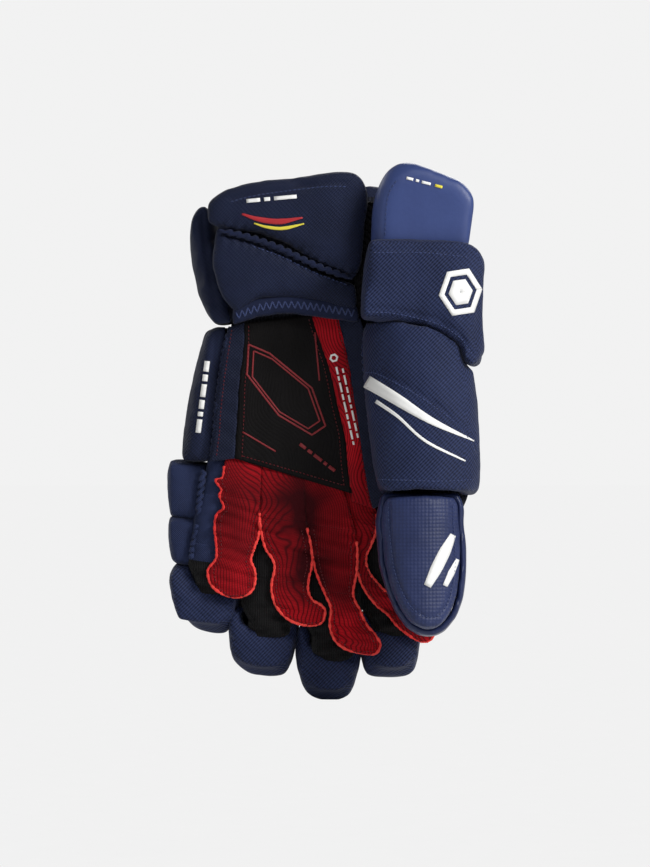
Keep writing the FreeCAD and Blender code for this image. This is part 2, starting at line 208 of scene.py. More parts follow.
def grid_faces(rows, columns, wrap=False):
    """Four-sided faces over a rows x columns grid; wrap joins its last column to its first."""
    faces = []
    for i in range(rows - 1):
        for j in range(columns if wrap else columns - 1):
            k = (j + 1) % columns
            faces.append((i * columns + j, i * columns + k, (i + 1) * columns + k, (i + 1) * columns + j))
    return faces


def apply_modifiers(obj):
    """Keep the modifiers' result as the object's own mesh."""
    depsgraph = bpy.context.evaluated_depsgraph_get()
    mesh = bpy.data.meshes.new_from_object(obj.evaluated_get(depsgraph))
    old = obj.data
    obj.modifiers.clear()
    obj.data = mesh
    bpy.data.meshes.remove(old)
    shade_smooth(obj)


def coords(mesh):
    flat = np.empty(len(mesh.vertices) * 3)
    mesh.vertices.foreach_get("co", flat)
    return flat.reshape(-1, 3)


def normals(mesh):
    flat = np.empty(len(mesh.vertices) * 3)
    mesh.vertices.foreach_get("normal", flat)
    return flat.reshape(-1, 3)


def set_coords(mesh, points):
    mesh.vertices.foreach_set("co", points.ravel())
    mesh.update()


def noise(points, scale, seed=0.0):
    """Cheap smooth noise from a few crossed waves; the same for every run."""
    p = points * scale + seed
    a = np.sin(p[:, 0] * 1.7 + 1.3 * np.sin(p[:, 2] * 1.1 + seed))
    b = np.sin(p[:, 2] * 2.1 + 1.7 * np.sin(p[:, 1] * 1.3 + 2 * seed))
    c = np.sin(p[:, 1] * 1.9 + 1.1 * np.sin(p[:, 0] * 1.6 - seed))
    return (a + b + c) / 3


def distance_to_line(points_xz, line):
    """Distance of each point to a polyline, and how far along it the nearest point lies."""
    line = np.array(line, float)
    best = np.full(len(points_xz), 1e9)
    along = np.zeros(len(points_xz))
    start = 0.0
    for a, b in zip(line[:-1], line[1:]):
        ab = b - a
        length = np.linalg.norm(ab)
        t = np.clip(((points_xz - a) @ ab) / max(length ** 2, 1e-9), 0, 1)
        d = np.linalg.norm(points_xz - (a + t[:, None] * ab), axis=1)
        closer = d < best
        best = np.where(closer, d, best)
        along = np.where(closer, start + t * length, along)
        start += length
    return best, along


def press_seam(obj, line, depth, width, front=-1, pucker=0.0, pucker_pitch=7.0):
    """Sew a groove into the faces that look along front*Y, with puckers across it."""
    mesh = obj.data
    points = coords(mesh) / MM
    normal = normals(mesh)
    d, along = distance_to_line(points[:, (0, 2)], line)
    look = np.clip(normal[:, 1] * front * 2.5, 0, 1)
    groove = depth * np.exp(-(d / width) ** 2)
    waves = pucker * np.exp(-(d / (width * 3)) ** 2) * (1 - np.exp(-(d / width) ** 2))
    waves = waves * np.sin(2 * math.pi * along / pucker_pitch + 0.6 * np.sin(along * 0.31))
    points = points - normal * ((groove + waves) * look)[:, None]
    set_coords(mesh, points * MM)


# ---------------------------------------------------------------- material tools

def add_node(tree, kind, inputs=None, **settings):
    """One shader node; an input is a value, or a socket to link from."""
    made = tree.nodes.new("ShaderNode" + kind)
    for key, value in settings.items():
        setattr(made, key, value)
    for key, value in (inputs or {}).items():
        if isinstance(value, bpy.types.NodeSocket):
            tree.links.new(value, made.inputs[key])
        else:
            made.inputs[key].default_value = value
    return made


def maths(tree, operation, a, b=0.0, clamp=False):
    made = add_node(tree, "Math", {0: a, 1: b}, operation=operation, use_clamp=clamp)
    return made.outputs[0]


def plus(tree, a, b, clamp=False):
    return maths(tree, "ADD", a, b, clamp)


def minus(tree, a, b, clamp=False):
    return maths(tree, "SUBTRACT", a, b, clamp)


def times(tree, a, b, clamp=False):
    return maths(tree, "MULTIPLY", a, b, clamp)


def mix_colour(tree, share, a, b):
    """Colour a where share is 0, colour b where it is 1."""
    return add_node(tree, "Mix", {0: share, 6: a, 7: b}, data_type="RGBA").outputs[2]


def cloudy(tree, place, scale, detail):
    """Soft noise in the row frame, from 0 to 1."""
    inputs = {"Vector": place.outputs["Object"], "Scale": scale, "Detail": detail}
    return add_node(tree, "TexNoise", inputs).outputs[0]


def rgb(red, green, blue):
    """sRGB 0-255 to a linear colour."""
    linear = []
    for value in (red, green, blue):
        v = value / 255
        linear.append(v / 12.92 if v <= 0.04045 else ((v + 0.055) / 1.055) ** 2.4)
    return (*linear, 1.0)


def start_material(name):
    material = bpy.data.materials.new(name)
    material.use_nodes = True
    tree = material.node_tree
    tree.nodes.clear()
    out = add_node(tree, "OutputMaterial")
    shader = add_node(tree, "BsdfPrincipled")
    tree.links.new(shader.outputs[0], out.inputs[0])
    return material, tree, shader


def fabric_plane(tree):
    """(u, v) in millimetres on whichever plane the surface faces, so that a weave never stretches."""
    place = add_node(tree, "TexCoord")
    p = add_node(tree, "SeparateXYZ", {0: place.outputs["Object"]})
    n = add_node(tree, "SeparateXYZ", {0: place.outputs["Normal"]})
    nx, ny, nz = (maths(tree, "ABSOLUTE", n.outputs[k]) for k in range(3))
    faces_x = maths(tree, "GREATER_THAN", nx, maths(tree, "MAXIMUM", ny, nz))
    faces_z = maths(tree, "GREATER_THAN", nz, maths(tree, "MAXIMUM", ny, nx))
    u = add_node(tree, "Mix", {0: faces_x, 2: p.outputs[0], 3: p.outputs[1]}).outputs[0]
    v = add_node(tree, "Mix", {0: faces_z, 2: p.outputs[2], 3: p.outputs[1]}).outputs[0]
    return place, times(tree, u, 1000.0), times(tree, v, 1000.0)


def ridges(tree, coordinate, pitch):
    """0 to 1 ridges at that pitch, in millimetres."""
    turned = times(tree, coordinate, 2 * math.pi / pitch)
    return plus(tree, times(tree, maths(tree, "SINE", turned), 0.5), 0.5)


FABRIC_GLOSS, COATED_GLOSS = 0.12, 0.3


def finish_material(tree, shader, colour, height, rough, bump, depth, sheen, gloss=FABRIC_GLOSS):
    bumped = add_node(tree, "Bump", {"Strength": bump, "Distance": depth, "Height": height})
    shader.inputs["Roughness"].default_value = rough
    shader.inputs["Sheen Weight"].default_value = sheen
    shader.inputs["Sheen Roughness"].default_value = 0.4
    shader.inputs["Specular IOR Level"].default_value = gloss
    tree.links.new(colour, shader.inputs["Base Color"])
    tree.links.new(bumped.outputs[0], shader.inputs["Normal"])


# A weave's two sets of ridges: pitch of each as a share of the fabric's own, and their shares of its height.
PLAIN_WEAVE = (1.0, 1.0, 0.5, 0.5)
TWILL = (1.25, 2.1, 0.68, 0.32)
FABRIC_RELIEF = 0.0005     # metres between a fabric's threads and its hollows
PATCHES, FUZZ = (38.0, 3.0), (900.0, 2.0)      # scale and detail of the dye's patches and of loose fibres
EDGE_FROM, EDGE_GAIN = 0.53, 6.0               # which convex edges are rubbed, and how sharply that begins


def woven(name, dark, light, pitch=1.5, rough=0.62, sheen=0.06, bump=0.7, plain=False, wear=0.25):
    """Woven nylon: twill ridges, or a plain weave, with dye variation, painted shade in the weave's hollows and
    paler rubbed edges.
    """
    material, tree, shader = start_material(name)
    place, u, v = fabric_plane(tree)
    first_pitch, second_pitch, first_share, second_share = PLAIN_WEAVE if plain else TWILL
    diagonal = ridges(tree, minus(tree, u, v), pitch * first_pitch)
    across = ridges(tree, plus(tree, u, v), pitch * second_pitch)
    weave = plus(tree, times(tree, diagonal, first_share), times(tree, across, second_share))
    patches = cloudy(tree, place, *PATCHES)
    fuzz = cloudy(tree, place, *FUZZ)
    # The weave's hollows are painted darker than its threads, as painted shade; the patches are the dye's own.
    shade = plus(tree, times(tree, weave, 0.85), times(tree, patches, 0.5))
    shade = minus(tree, shade, 0.2, clamp=True)
    colour = mix_colour(tree, shade, dark, light)
    edge = add_node(tree, "NewGeometry").outputs["Pointiness"]
    rubbed = times(tree, minus(tree, edge, EDGE_FROM, clamp=True), EDGE_GAIN, clamp=True)
    rubbed = times(tree, rubbed, wear)
    pale = tuple(min(1.0, c * 1.9 + 0.01) for c in light[:3]) + (1.0,)
    colour = mix_colour(tree, rubbed, colour, pale)
    height = plus(tree, weave, times(tree, fuzz, 0.5))
    finish_material(tree, shader, colour, height, rough, bump=bump, depth=FABRIC_RELIEF, sheen=sheen)
    return material


# Painted shade for the palm's hollow, where the suede is kept darkest: its middle's x and z, and half its width
# and height, in metres.
HOLLOW_X, HOLLOW_Z = -0.008, -0.222
HOLLOW_WIDE, HOLLOW_HIGH = 0.062, 0.058


def hollow_shade(tree, place):
    """Mask of the painted shade in the palm's hollow: 1 in its middle, falling to 0 at its edge."""
    parts = add_node(tree, "SeparateXYZ", {0: place.outputs["Object"]})
    wide = maths(tree, "DIVIDE", minus(tree, parts.outputs[0], HOLLOW_X), HOLLOW_WIDE)
    high = maths(tree, "DIVIDE", minus(tree, parts.outputs[2], HOLLOW_Z), HOLLOW_HIGH)
    far = plus(tree, times(tree, wide, wide), times(tree, high, high))
    return minus(tree, 1.0, far, clamp=True)


RIB_WANDER = 22.0          # how far the suede's contour lines wander, in their own pitch
RIB_SLOPE = 0.25
RIB_SHARP, CROSS_SHARP = 3.0, 4.0              # higher powers make thinner lines
SHADE_PATCH_FROM, SHADE_PATCH_GAIN, SHADE_PATCH_SHARE = 0.42, 3.2, 0.75   # painted shade in random dark patches: where, how sharp, how strong


def suede(name, dark, mid, light, rib_pitch, rib_share, rough=0.85, grid=False, sheen=0.06, hollow_shading=0.0):
    """Napped synthetic suede with printed contour lines that wander like a map's, random dark patches of painted
    shade, and more painted shade in the palm's hollow.
    """
    material, tree, shader = start_material(name)
    place, u, v = fabric_plane(tree)
    wander = times(tree, cloudy(tree, place, 24.0, 0.5), rib_pitch * RIB_WANDER)
    lines = ridges(tree, plus(tree, plus(tree, u, times(tree, v, RIB_SLOPE)), wander), rib_pitch)
    thin = maths(tree, "POWER", lines, RIB_SHARP)
    if grid:
        cross = ridges(tree, minus(tree, v, times(tree, wander, 0.6)), rib_pitch * 0.8)
        cross = times(tree, maths(tree, "POWER", cross, CROSS_SHARP), 0.4)
        thin = maths(tree, "MAXIMUM", thin, cross)
    nap = cloudy(tree, place, 1400.0, 3.0)
    cloud = cloudy(tree, place, 55.0, 4.0)
    colour = mix_colour(tree, cloud, mid, light)
    # Random dark patches of painted shade, for more contrast in the suede.
    shade_patches = cloudy(tree, place, 17.0, 2.0)
    shaded = times(tree, minus(tree, shade_patches, SHADE_PATCH_FROM, clamp=True), SHADE_PATCH_GAIN, clamp=True)
    shaded = times(tree, shaded, SHADE_PATCH_SHARE)
    if hollow_shading:
        # Painted shade in the palm's hollow, strongest where the dark patches are.
        painted_hollow_shade = times(tree, hollow_shade(tree, place), hollow_shading)
        shaded = plus(tree, shaded, times(tree, painted_hollow_shade, shade_patches), clamp=True)
    colour = mix_colour(tree, shaded, colour, dark)
    colour = mix_colour(tree, times(tree, thin, rib_share), colour, dark)
    colour = mix_colour(tree, times(tree, nap, 0.25), colour, dark)
    height = minus(tree, times(tree, nap, 0.7), times(tree, thin, 0.6))
    finish_material(tree, shader, colour, height, rough, bump=0.5, depth=FABRIC_RELIEF, sheen=sheen)
    return material


def knit(name, dark, light, pitch, rough=0.8):
    """Ribbed stretch knit: rounded ribs along v, small loops between them."""
    material, tree, shader = start_material(name)
    place, u, v = fabric_plane(tree)
    ribs = ridges(tree, u, pitch)
    loops = ridges(tree, v, pitch * 0.7)
    height = plus(tree, ribs, times(tree, loops, 0.4))
    cloud = cloudy(tree, place, 60.0, 3.0)
    # The hollows between the ribs are painted darker, as painted shade; the cloud is the yarn's own tone.
    shade = times(tree, plus(tree, ribs, cloud), 0.5)
    colour = mix_colour(tree, shade, dark, light)
    finish_material(tree, shader, colour, height, rough, bump=0.6, depth=0.0006, sheen=0.05)
    return material


def coated(name, dark, light, rough=0.45, scale=240.0, cells=False, bump=0.35, pitch=2.4):
    """Coated or moulded surface: fine grain or a small embossed cell pattern."""
    material, tree, shader = start_material(name)
    place, u, v = fabric_plane(tree)
    grain = cloudy(tree, place, scale, 5.0)
    height = grain
    if cells:
        flat = add_node(tree, "CombineXYZ", {0: u, 1: v})
        cells_at = {"Vector": flat.outputs[0], "Scale": 1 / pitch, "Randomness": 0.0}
        dots = add_node(tree, "TexVoronoi", cells_at)
        raised = minus(tree, 0.62, dots.outputs["Distance"], clamp=True)
        height = plus(tree, times(tree, raised, 1.3), times(tree, grain, 0.15))
    cloud = cloudy(tree, place, 30.0, 3.0)
    # The low parts of the grain and cells are painted darker, as painted shade; the cloud is the coating's own
    # tone.
    shade = plus(tree, times(tree, cloud, 0.8), times(tree, height, 0.25))
    shade = minus(tree, shade, 0.1, clamp=True)
    colour = mix_colour(tree, shade, dark, light)
    finish_material(tree, shader, colour, height, rough, bump=bump, depth=FABRIC_RELIEF, sheen=0.02,
                    gloss=COATED_GLOSS)
    return material


def thread(name, dark, light, rough=0.6):
    """Twisted sewing thread."""
    material, tree, shader = start_material(name)
    place = add_node(tree, "TexCoord")
    twist_at = {"Vector": place.outputs["Object"], "Scale": 900.0, "Distortion": 2.0}
    twist = add_node(tree, "TexWave", twist_at, bands_direction="DIAGONAL")
    # The twist's grooves are painted darker, as painted shade.
    colour = mix_colour(tree, twist.outputs[1], dark, light)
    finish_material(tree, shader, colour, twist.outputs[1], rough, bump=0.4, depth=0.0002, sheen=0.2)
    return material


NAVY = woven("navy_twill", rgb(10, 13, 26), rgb(32, 40, 68))
# NAVY_LIT is a lighter copy of the NAVY twill, painted light, for the thumb's pads and piping, the thumb cuff's
# band and the fingertip caps.
NAVY_LIT = woven("navy_twill_thumb", rgb(15, 19, 36), rgb(46, 56, 92), pitch=1.9, bump=0.8)
NAVY_FINE = woven("navy_fine_weave", rgb(17, 22, 42), rgb(46, 57, 94), pitch=1.3, plain=True)
NAVY_WEB = woven("navy_web_fabric", rgb(12, 15, 28), rgb(28, 35, 60), pitch=2.2, plain=True, bump=0.8)
CUFF_FACE = coated("cuff_face_coating", rgb(42, 54, 98), rgb(62, 78, 128), rough=0.42, scale=420.0, bump=0.2)
HEX = coated("embossed_thumb", rgb(24, 32, 62), rgb(46, 58, 104), rough=0.5, cells=True, bump=0.6)
BINDING = woven("binding_tape", rgb(14, 18, 34), rgb(31, 40, 72), pitch=1.0, plain=True, bump=0.7)
WELT = coated("welt_coating", rgb(20, 26, 50), rgb(42, 54, 98), rough=0.38, scale=300.0, bump=0.25)
PAINTED_HOLLOW_SHADE = 1.5         # how strongly painted shade darkens the red suede in the palm's hollow
RED = suede("red_suede", rgb(52, 0, 6), rgb(146, 5, 20), rgb(200, 24, 36), 3.0, 0.85, hollow_shading=PAINTED_HOLLOW_SHADE)
RED_GRID = suede("red_suede_finger", rgb(48, 0, 5), rgb(140, 3, 16), rgb(206, 22, 34), 2.3, 0.85,
                 grid=True, hollow_shading=PAINTED_HOLLOW_SHADE)
CORAL = suede("cut_edge", rgb(190, 30, 34), rgb(238, 62, 58), rgb(250, 92, 82), 1.2, 0.25)
BLACK = suede("black_overlay", rgb(3, 3, 3), rgb(9, 7, 8), rgb(17, 14, 15), 2.0, 0.12, rough=0.75, sheen=0.0)
STRETCH = knit("black_stretch", rgb(6, 6, 7), rgb(26, 25, 26), 1.5)
LINING = knit("lining_knit", rgb(16, 17, 22), rgb(44, 46, 56), 2.4)
PLASTIC = coated("black_plastic", rgb(12, 12, 14), rgb(30, 30, 34), rough=0.5, scale=180.0, bump=0.2)
NAVY_THREAD = thread("navy_thread", rgb(30, 38, 70), rgb(64, 78, 124))
MAROON_THREAD = thread("maroon_thread", rgb(60, 2, 10), rgb(104, 8, 18))
PRINT_FILM = {"scale": 500.0, "bump": 0.15}
WHITE_PRINT = coated("white_print", rgb(214, 214, 212), rgb(244, 244, 242), rough=0.5, **PRINT_FILM)
RED_PRINT = coated("red_print", rgb(140, 26, 34), rgb(184, 44, 50), rough=0.5, **PRINT_FILM)
DULL_RED_PRINT = coated("dull_red_print", rgb(96, 22, 28), rgb(140, 40, 44), rough=0.6, **PRINT_FILM)
YELLOW_PRINT = coated("yellow_print", rgb(196, 180, 52), rgb(226, 214, 78), rough=0.5, **PRINT_FILM)


# ---------------------------------------------------------------- the fingers' own directions

BREAK_HALF = 9.0          # half the bend range listed for a finger's piece at each break


class FingerLine:
    """A finger's own directions: s runs from the knuckle to the tip, across to the thumb side."""

    def __init__(self, name):
        self.name = name
        joints = [JOINTS[name + "_knuckle"], JOINTS[name + "_break"], JOINTS[name + "_tip_break"]]
        places = [np.array(j["pos_m"]) / MM for j in joints]
        axis = np.array(joints[0]["axis"])
        self.knuckle = np.array([places[0][0], 0, places[0][2]])
        self.along = np.array([-axis[2], 0, axis[0]])
        self.across = -axis
        self.first = float(np.linalg.norm(places[1] - places[0]))
        self.second = self.first + float(np.linalg.norm(places[2] - places[1]))
        low, _ = box_mm(name + "_tip_cap")
        self.end = float((low[2] - self.knuckle[2]) / self.along[2])

    def point(self, s, x, y):
        return self.knuckle + self.along * s + self.across * x + np.array([0, y, 0])

    def s_of(self, points):
        return (points - self.knuckle) @ self.along

    def parts(self):
        """Piece name, its two bodies, where it starts and ends, and where it bends."""
        mid_first, mid_second = self.first / 2, (self.first + self.second) / 2
        p, m, t = (self.name + end for end in ("_proximal", "_middle", "_tip"))
        return [
            ("proximal", ("hand", p), -1e9, mid_first, (0.0, mid_first - 2)),
            ("middle", (p, m), mid_first, mid_second, (self.first - BREAK_HALF, self.first + BREAK_HALF)),
            ("tip", (m, t), mid_second, 1e9, (self.second - BREAK_HALF, self.second + BREAK_HALF)),
        ]

    def bend(self, obj, bodies, bend):
        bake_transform(obj)


# ---------------------------------------------------------------- padded pieces

# Every one of these CAD solids is foam in a cover; the looks start from its own shape. Voxel size and how far
# the pad may swell are in millimetres.
Pad = namedtuple("Pad", "voxel swell pressure material")
PADS = {
    "cuff_palm_upper_pad": Pad(3.0, 4.0, 20.0, NAVY),
    "cuff_palm_lower_pad": Pad(2.6, 3.0, 16.0, NAVY),
    "cuff_palm_binding": Pad(1.8, 1.0, 4.0, BINDING),
    "cuff_side_roll": Pad(3.2, 4.0, 16.0, NAVY),
    "cuff_back_roll": Pad(4.0, 7.0, 20.0, NAVY),
    "cuff_thumb_panel": Pad(3.0, 2.0, 8.0, CUFF_FACE),
    "cuff_thumb_band": Pad(3.2, 3.0, 12.0, NAVY_LIT),
    "side_hand_pad": Pad(3.2, 5.0, 16.0, NAVY),
    "back_roll_wrist": Pad(3.6, 7.0, 20.0, NAVY),
    "back_roll_middle": Pad(3.6, 7.0, 20.0, NAVY),
    "back_roll_knuckle": Pad(3.6, 7.0, 20.0, NAVY),
    "thumb_base_pad": Pad(3.0, 4.0, 16.0, NAVY_LIT),
    "thumb_tip_pad": Pad(2.6, 3.0, 12.0, HEX),
    "thumb_tip_border": Pad(2.2, 1.5, 4.0, WELT),
}
for finger_name in FINGERS:
    PADS[finger_name + "_proximal_roll"] = Pad(2.8, 4.0, 16.0, NAVY_FINE)
    PADS[finger_name + "_middle_roll"] = Pad(2.8, 4.0, 16.0, NAVY_FINE)
    PADS[finger_name + "_tip_cap"] = Pad(2.8, 4.5, 20.0, NAVY_LIT)

# These are moulded, so they aren't blown up.
STIFF_PADS = ("cuff_thumb_panel", "thumb_tip_border", "cuff_palm_binding")
SIM_FRAMES = 20
SHRINK = 0.25              # share of the swelling taken off before the simulation
CLOTH = {"quality": 4, "mass": 0.3, "tension_stiffness": 12, "compression_stiffness": 12,
         "shear_stiffness": 8, "bending_stiffness": 1.0, "use_pressure": True}
WRINKLE, STIFF_WRINKLE = 0.35, 0.1             # height of the cover's waves, in millimetres
COVER_WAVES = ((0.16, 1.3, 0.6), (0.37, 4.1, 0.4))   # scale, seed and share of each set of waves
ROUNDING, SETTLING = 3, 2                      # rounds of relaxing before and after the swelling


def cad_copy(node, name, material):
    """A new object with a CAD node's mesh and one material."""
    mesh = NODES[node].data.copy()
    mesh.materials.clear()
    mesh.materials.append(material)
    obj = bpy.data.objects.new(name, mesh)
    bpy.context.scene.collection.objects.link(obj)
    return obj


def voxel_remesh(obj, size_mm):
    """An even mesh over the same shape, so that it can swell."""
    remesh = obj.modifiers.new("remesh", "REMESH")
    remesh.mode = "VOXEL"
    remesh.voxel_size = size_mm * MM
    remesh.use_smooth_shade = True
    apply_modifiers(obj)


def relax(obj, rounds, factor=0.5):
    """Round a pad's hard edges the way foam under fabric does."""
    mesh = obj.data
    points = coords(mesh)
    edges = np.empty(len(mesh.edges) * 2, int)
    mesh.edges.foreach_get("vertices", edges)
    a, b = edges.reshape(-1, 2).T
    degree = np.bincount(np.concatenate([a, b]), minlength=len(points))[:, None]
    for _ in range(rounds):
        total = np.zeros_like(points)
        np.add.at(total, a, points[b])
        np.add.at(total, b, points[a])
        points = points + factor * (total / np.maximum(degree, 1) - points)
    set_coords(mesh, points)


def body_of_node(node):
    """The moving body that a CAD node belongs to."""
    for body, names in frame["record"]["behaviour"]["bodies"].items():
        if node in names:
            return body
    raise KeyError(node)


LIP_HIGH, LIP_LOW = 30.0, 7.0      # the lip's edges, above the fingertip
LIP_SLANT = 7.0                    # its outer end is this much higher
LIP_FRONT_Y, LIP_BACK_Y = -23.5, -9.0


def add_lip(obj, finger):
    """Padding across the palm side of a fingertip, which the sock goes in behind."""
    line = FingerLine(finger)
    points = coords(obj.data) / MM
    x = (points - line.knuckle) @ line.across
    low, high = x.min() + 1.0, x.max() - 1.0
    corners = []
    for y in (LIP_FRONT_Y, LIP_BACK_Y):
        corners += [line.point(line.end - LIP_HIGH - LIP_SLANT / 2, low, y),
                    line.point(line.end - LIP_HIGH + LIP_SLANT / 2, high, y),
                    line.point(line.end - LIP_LOW, high - 7, y), line.point(line.end - LIP_LOW, low + 9, y)]
    faces = [(0, 1, 2, 3), (7, 6, 5, 4), (0, 4, 5, 1), (1, 5, 6, 2), (2, 6, 7, 3), (3, 7, 4, 0)]
    work = bmesh.new()
    work.from_mesh(obj.data)
    verts = [work.verts.new(tuple(c * MM)) for c in corners]
    made = [work.faces.new([verts[i] for i in face]) for face in faces]
    bmesh.ops.recalc_face_normals(work, faces=made)
    work.to_mesh(obj.data)
    work.free()


def start_pads():
    """Every pad's remeshed and rounded start, a little smaller where it is to swell."""
    made = {}
    for node, pad in PADS.items():
        obj = cad_copy(node, "pad_" + node, pad.material)
        if node.endswith("_tip_cap"):
            add_lip(obj, node.split("_")[0])
        voxel_remesh(obj, pad.voxel)
        relax(obj, ROUNDING)
        points, normal = coords(obj.data), normals(obj.data)
        if node not in STIFF_PADS:
            set_coords(obj.data, points - normal * (SHRINK * pad.swell * MM))
        made[node] = obj
    return made


def swell_by_cloth(made):
    """All pads swell together under air pressure; each may move only so far."""
    starts = {}
    for node, obj in made.items():
        if node in STIFF_PADS:
            continue
        cloth = obj.modifiers.new("cloth", "CLOTH")
        for setting, value in CLOTH.items():
            setattr(cloth.settings, setting, value)
        cloth.settings.uniform_pressure_force = PADS[node].pressure
        cloth.settings.effector_weights.gravity = 0
        cloth.collision_settings.use_collision = False
        cloth.point_cache.frame_start, cloth.point_cache.frame_end = 1, SIM_FRAMES
        starts[node] = coords(obj.data)
    scene = bpy.context.scene
    for number in range(1, SIM_FRAMES + 1):
        scene.frame_set(number)
    depsgraph = bpy.context.evaluated_depsgraph_get()
    for node, start in starts.items():
        obj = made[node]
        swollen = coords(obj.evaluated_get(depsgraph).data)
        step = swollen - start
        length = np.linalg.norm(step, axis=1)[:, None]
        most = PADS[node].swell * MM
        capped = step * np.minimum(1, most / np.maximum(length, 1e-9))
        obj.modifiers.clear()
        set_coords(obj.data, start + capped)
    scene.frame_set(1)


def settle_pad(obj, wrinkle):
    """Relax a swollen pad, subdivide it and give its cover soft waves."""
    relax(obj, SETTLING)
    smooth = obj.modifiers.new("smooth", "SUBSURF")
    smooth.levels = smooth.render_levels = 1
    apply_modifiers(obj)
    points, normal = coords(obj.data), normals(obj.data)
    waves = sum(noise(points / MM, scale, seed) * share for scale, seed, share in COVER_WAVES)
    set_coords(obj.data, points + normal * (waves * wrinkle * MM)[:, None])


# How far a pad's cover stands beyond the foam's own size, in millimetres.
COVER_GROW = {
    "cuff_palm_lower_pad": (3.6, 2.2, 3.4), "cuff_palm_upper_pad": (1.8, 1.4, 1.2),
    "cuff_palm_binding": (4.0, 0.8, 0.8), "cuff_side_roll": (2.4, 1.6, 1.6),
    "cuff_thumb_panel": (0.2, 0.2, 0.6), "side_hand_pad": (1.6, 1.4, 2.4),
    "thumb_base_pad": (0.4, 1.2, 1.8), "thumb_tip_pad": (1.8, 1.2, 1.8), "thumb_tip_border": (0.2, 0.2, 0.2),
    "pinky_proximal_roll": (4.2, 1.0, 1.9), "pinky_middle_roll": (4.2, 1.0, 1.2),
    "index_tip_cap": (3.2, 1.6, 1.2), "middle_tip_cap": (3.6, 1.6, 1.2),
    "ring_tip_cap": (2.4, 1.6, 1.2), "pinky_tip_cap": (2.6, 1.6, 1.2),
}
USUAL_GROW = (1.0, 1.0, 1.0)
# How much further down a cover reaches where it is tucked under the next piece, in millimetres.
TUCKED_UNDER = {"cuff_thumb_panel": 9.0}


def fit_cover(obj, node):
    """Bring a relaxed pad back to its foam's size plus the cover."""
    low, high = box_mm(node)
    grow = np.array(COVER_GROW.get(node, USUAL_GROW))
    low[2] -= TUCKED_UNDER.get(node, 0.0)
    points = coords(obj.data) / MM
    own_low, own_high = points.min(axis=0), points.max(axis=0)
    scale = (high - low + 2 * grow) / (own_high - own_low)
    set_coords(obj.data, ((points - (own_low + own_high) / 2) * scale + (low + high) / 2) * MM)


pads = start_pads()
swell_by_cloth(pads)
for node_name, pad in pads.items():
    settle_pad(pad, STIFF_WRINKLE if node_name in STIFF_PADS else WRINKLE)
    fit_cover(pad, node_name)
    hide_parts(node_name)
    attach(pad, body_of_node(node_name))


# ---------------------------------------------------------------- surfaces to sew things onto

def surface_of(*objects):
    """One search tree over the faces of these pieces, in millimetres."""
    verts, faces = [], []
    for obj in objects:
        start = len(verts)
        verts.extend(tuple(v) for v in coords(obj.data) / MM)
        faces.extend(tuple(start + i for i in face.vertices) for face in obj.data.polygons)
    return BVHTree.FromPolygons(verts, faces)


FROM_FRONT = (Vector((0, 1, 0)), -400.0)
FROM_BACK = (Vector((0, -1, 0)), 400.0)


def lay_on(tree, points_xz, lift, look=FROM_FRONT):
    """Points on the surface seen from the front or back, lifted off it; the last known depth fills a miss."""
    direction, far = look
    placed, last = [], None
    for x, z in points_xz:
        hit, normal, _, _ = tree.ray_cast(Vector((x, far, z)), direction)
        if hit is not None:
            facing = -direction
            outward = normal if normal.dot(facing) > 0 else -normal
            lifted = hit + outward * (0.4 * lift) + facing * (0.6 * lift)
            last = lifted.y
            placed.append((lifted.x, lifted.y, lifted.z))
        else:
            placed.append((x, last, z))
    known = [p[1] for p in placed if p[1] is not None]
    if not known:
        raise ValueError("nothing lies under these points")
    return np.array([(x, known[0] if y is None else y, z) for x, y, z in placed])


def grid_normals(grid):
    """Normals of a rows x columns grid whose rows run down and columns across, facing the palm side."""
    normal = np.cross(np.gradient(grid, axis=0), np.gradient(grid, axis=1))
    length = np.linalg.norm(normal, axis=2)
    normal[length < 1e-6] = (0, -1, 0)
    return normal / np.maximum(length, 1e-6)[:, :, None]


def loft(left, right, rows, columns, depth):
    """Grid between two outlines; depth(x, z, down, across) gives its y."""
    a, b = spline(left, rows), spline(right, rows)
    across = np.linspace(0, 1, columns)[None, :]
    down = np.repeat(np.linspace(0, 1, rows)[:, None], columns, axis=1)
    x = a[:, :1] + (b[:, :1] - a[:, :1]) * across
    z = a[:, 1:] + (b[:, 1:] - a[:, 1:]) * across
    return np.stack([x, depth(x, z, down, np.repeat(across, rows, axis=0)), z], axis=2)


def seam_row(shape, path, pitch, share, radius, slot=0):
    """A row of stitches along a 3-D path."""
    path = np.array(path, float)
    run = run_along(path)
    count = int(run[-1] / pitch)
    for i in range(count):
        ends = (i * pitch + 0.5 * pitch * (1 - share), i * pitch + 0.5 * pitch * (1 + share))
        a, b = (np.array([np.interp(e, run, path[:, k]) for k in range(3)]) for e in ends)
        shape.add_stitch(a, b, radius, slot)


def offset_line(line, amount):
    """An XZ polyline moved sideways, to its right as it runs."""
    line = np.array(line, float)
    along = np.gradient(line, axis=0)
    along /= np.maximum(np.linalg.norm(along, axis=1), 1e-9)[:, None]
    return line + np.stack([along[:, 1], -along[:, 0]], axis=1) * amount


PRINT_LIFT, PRINT_THICK = 0.35, 0.3            # how far a print stands off its fabric, and its thickness


def print_band(shape, tree, line, half, slot=0, lift=PRINT_LIFT, columns=4):
    """A printed or heat-pressed stripe along a line; half is its half width, or one for every point."""
    line = np.array(line, float)
    half = np.full(len(line), half) if np.isscalar(half) else np.interp(
        np.linspace(0, 1, len(line)), np.linspace(0, 1, len(half)), half)
    along = np.gradient(line, axis=0)
    along /= np.maximum(np.linalg.norm(along, axis=1), 1e-9)[:, None]
    side = np.stack([along[:, 1], -along[:, 0]], axis=1)
    grid = []
    for t in np.linspace(-1, 1, columns):
        grid.append(lay_on(tree, line + side * (half * t)[:, None], lift))
    grid = np.stack(grid, axis=1)
    shape.add_grid(grid, grid_normals(grid), PRINT_THICK, slot)


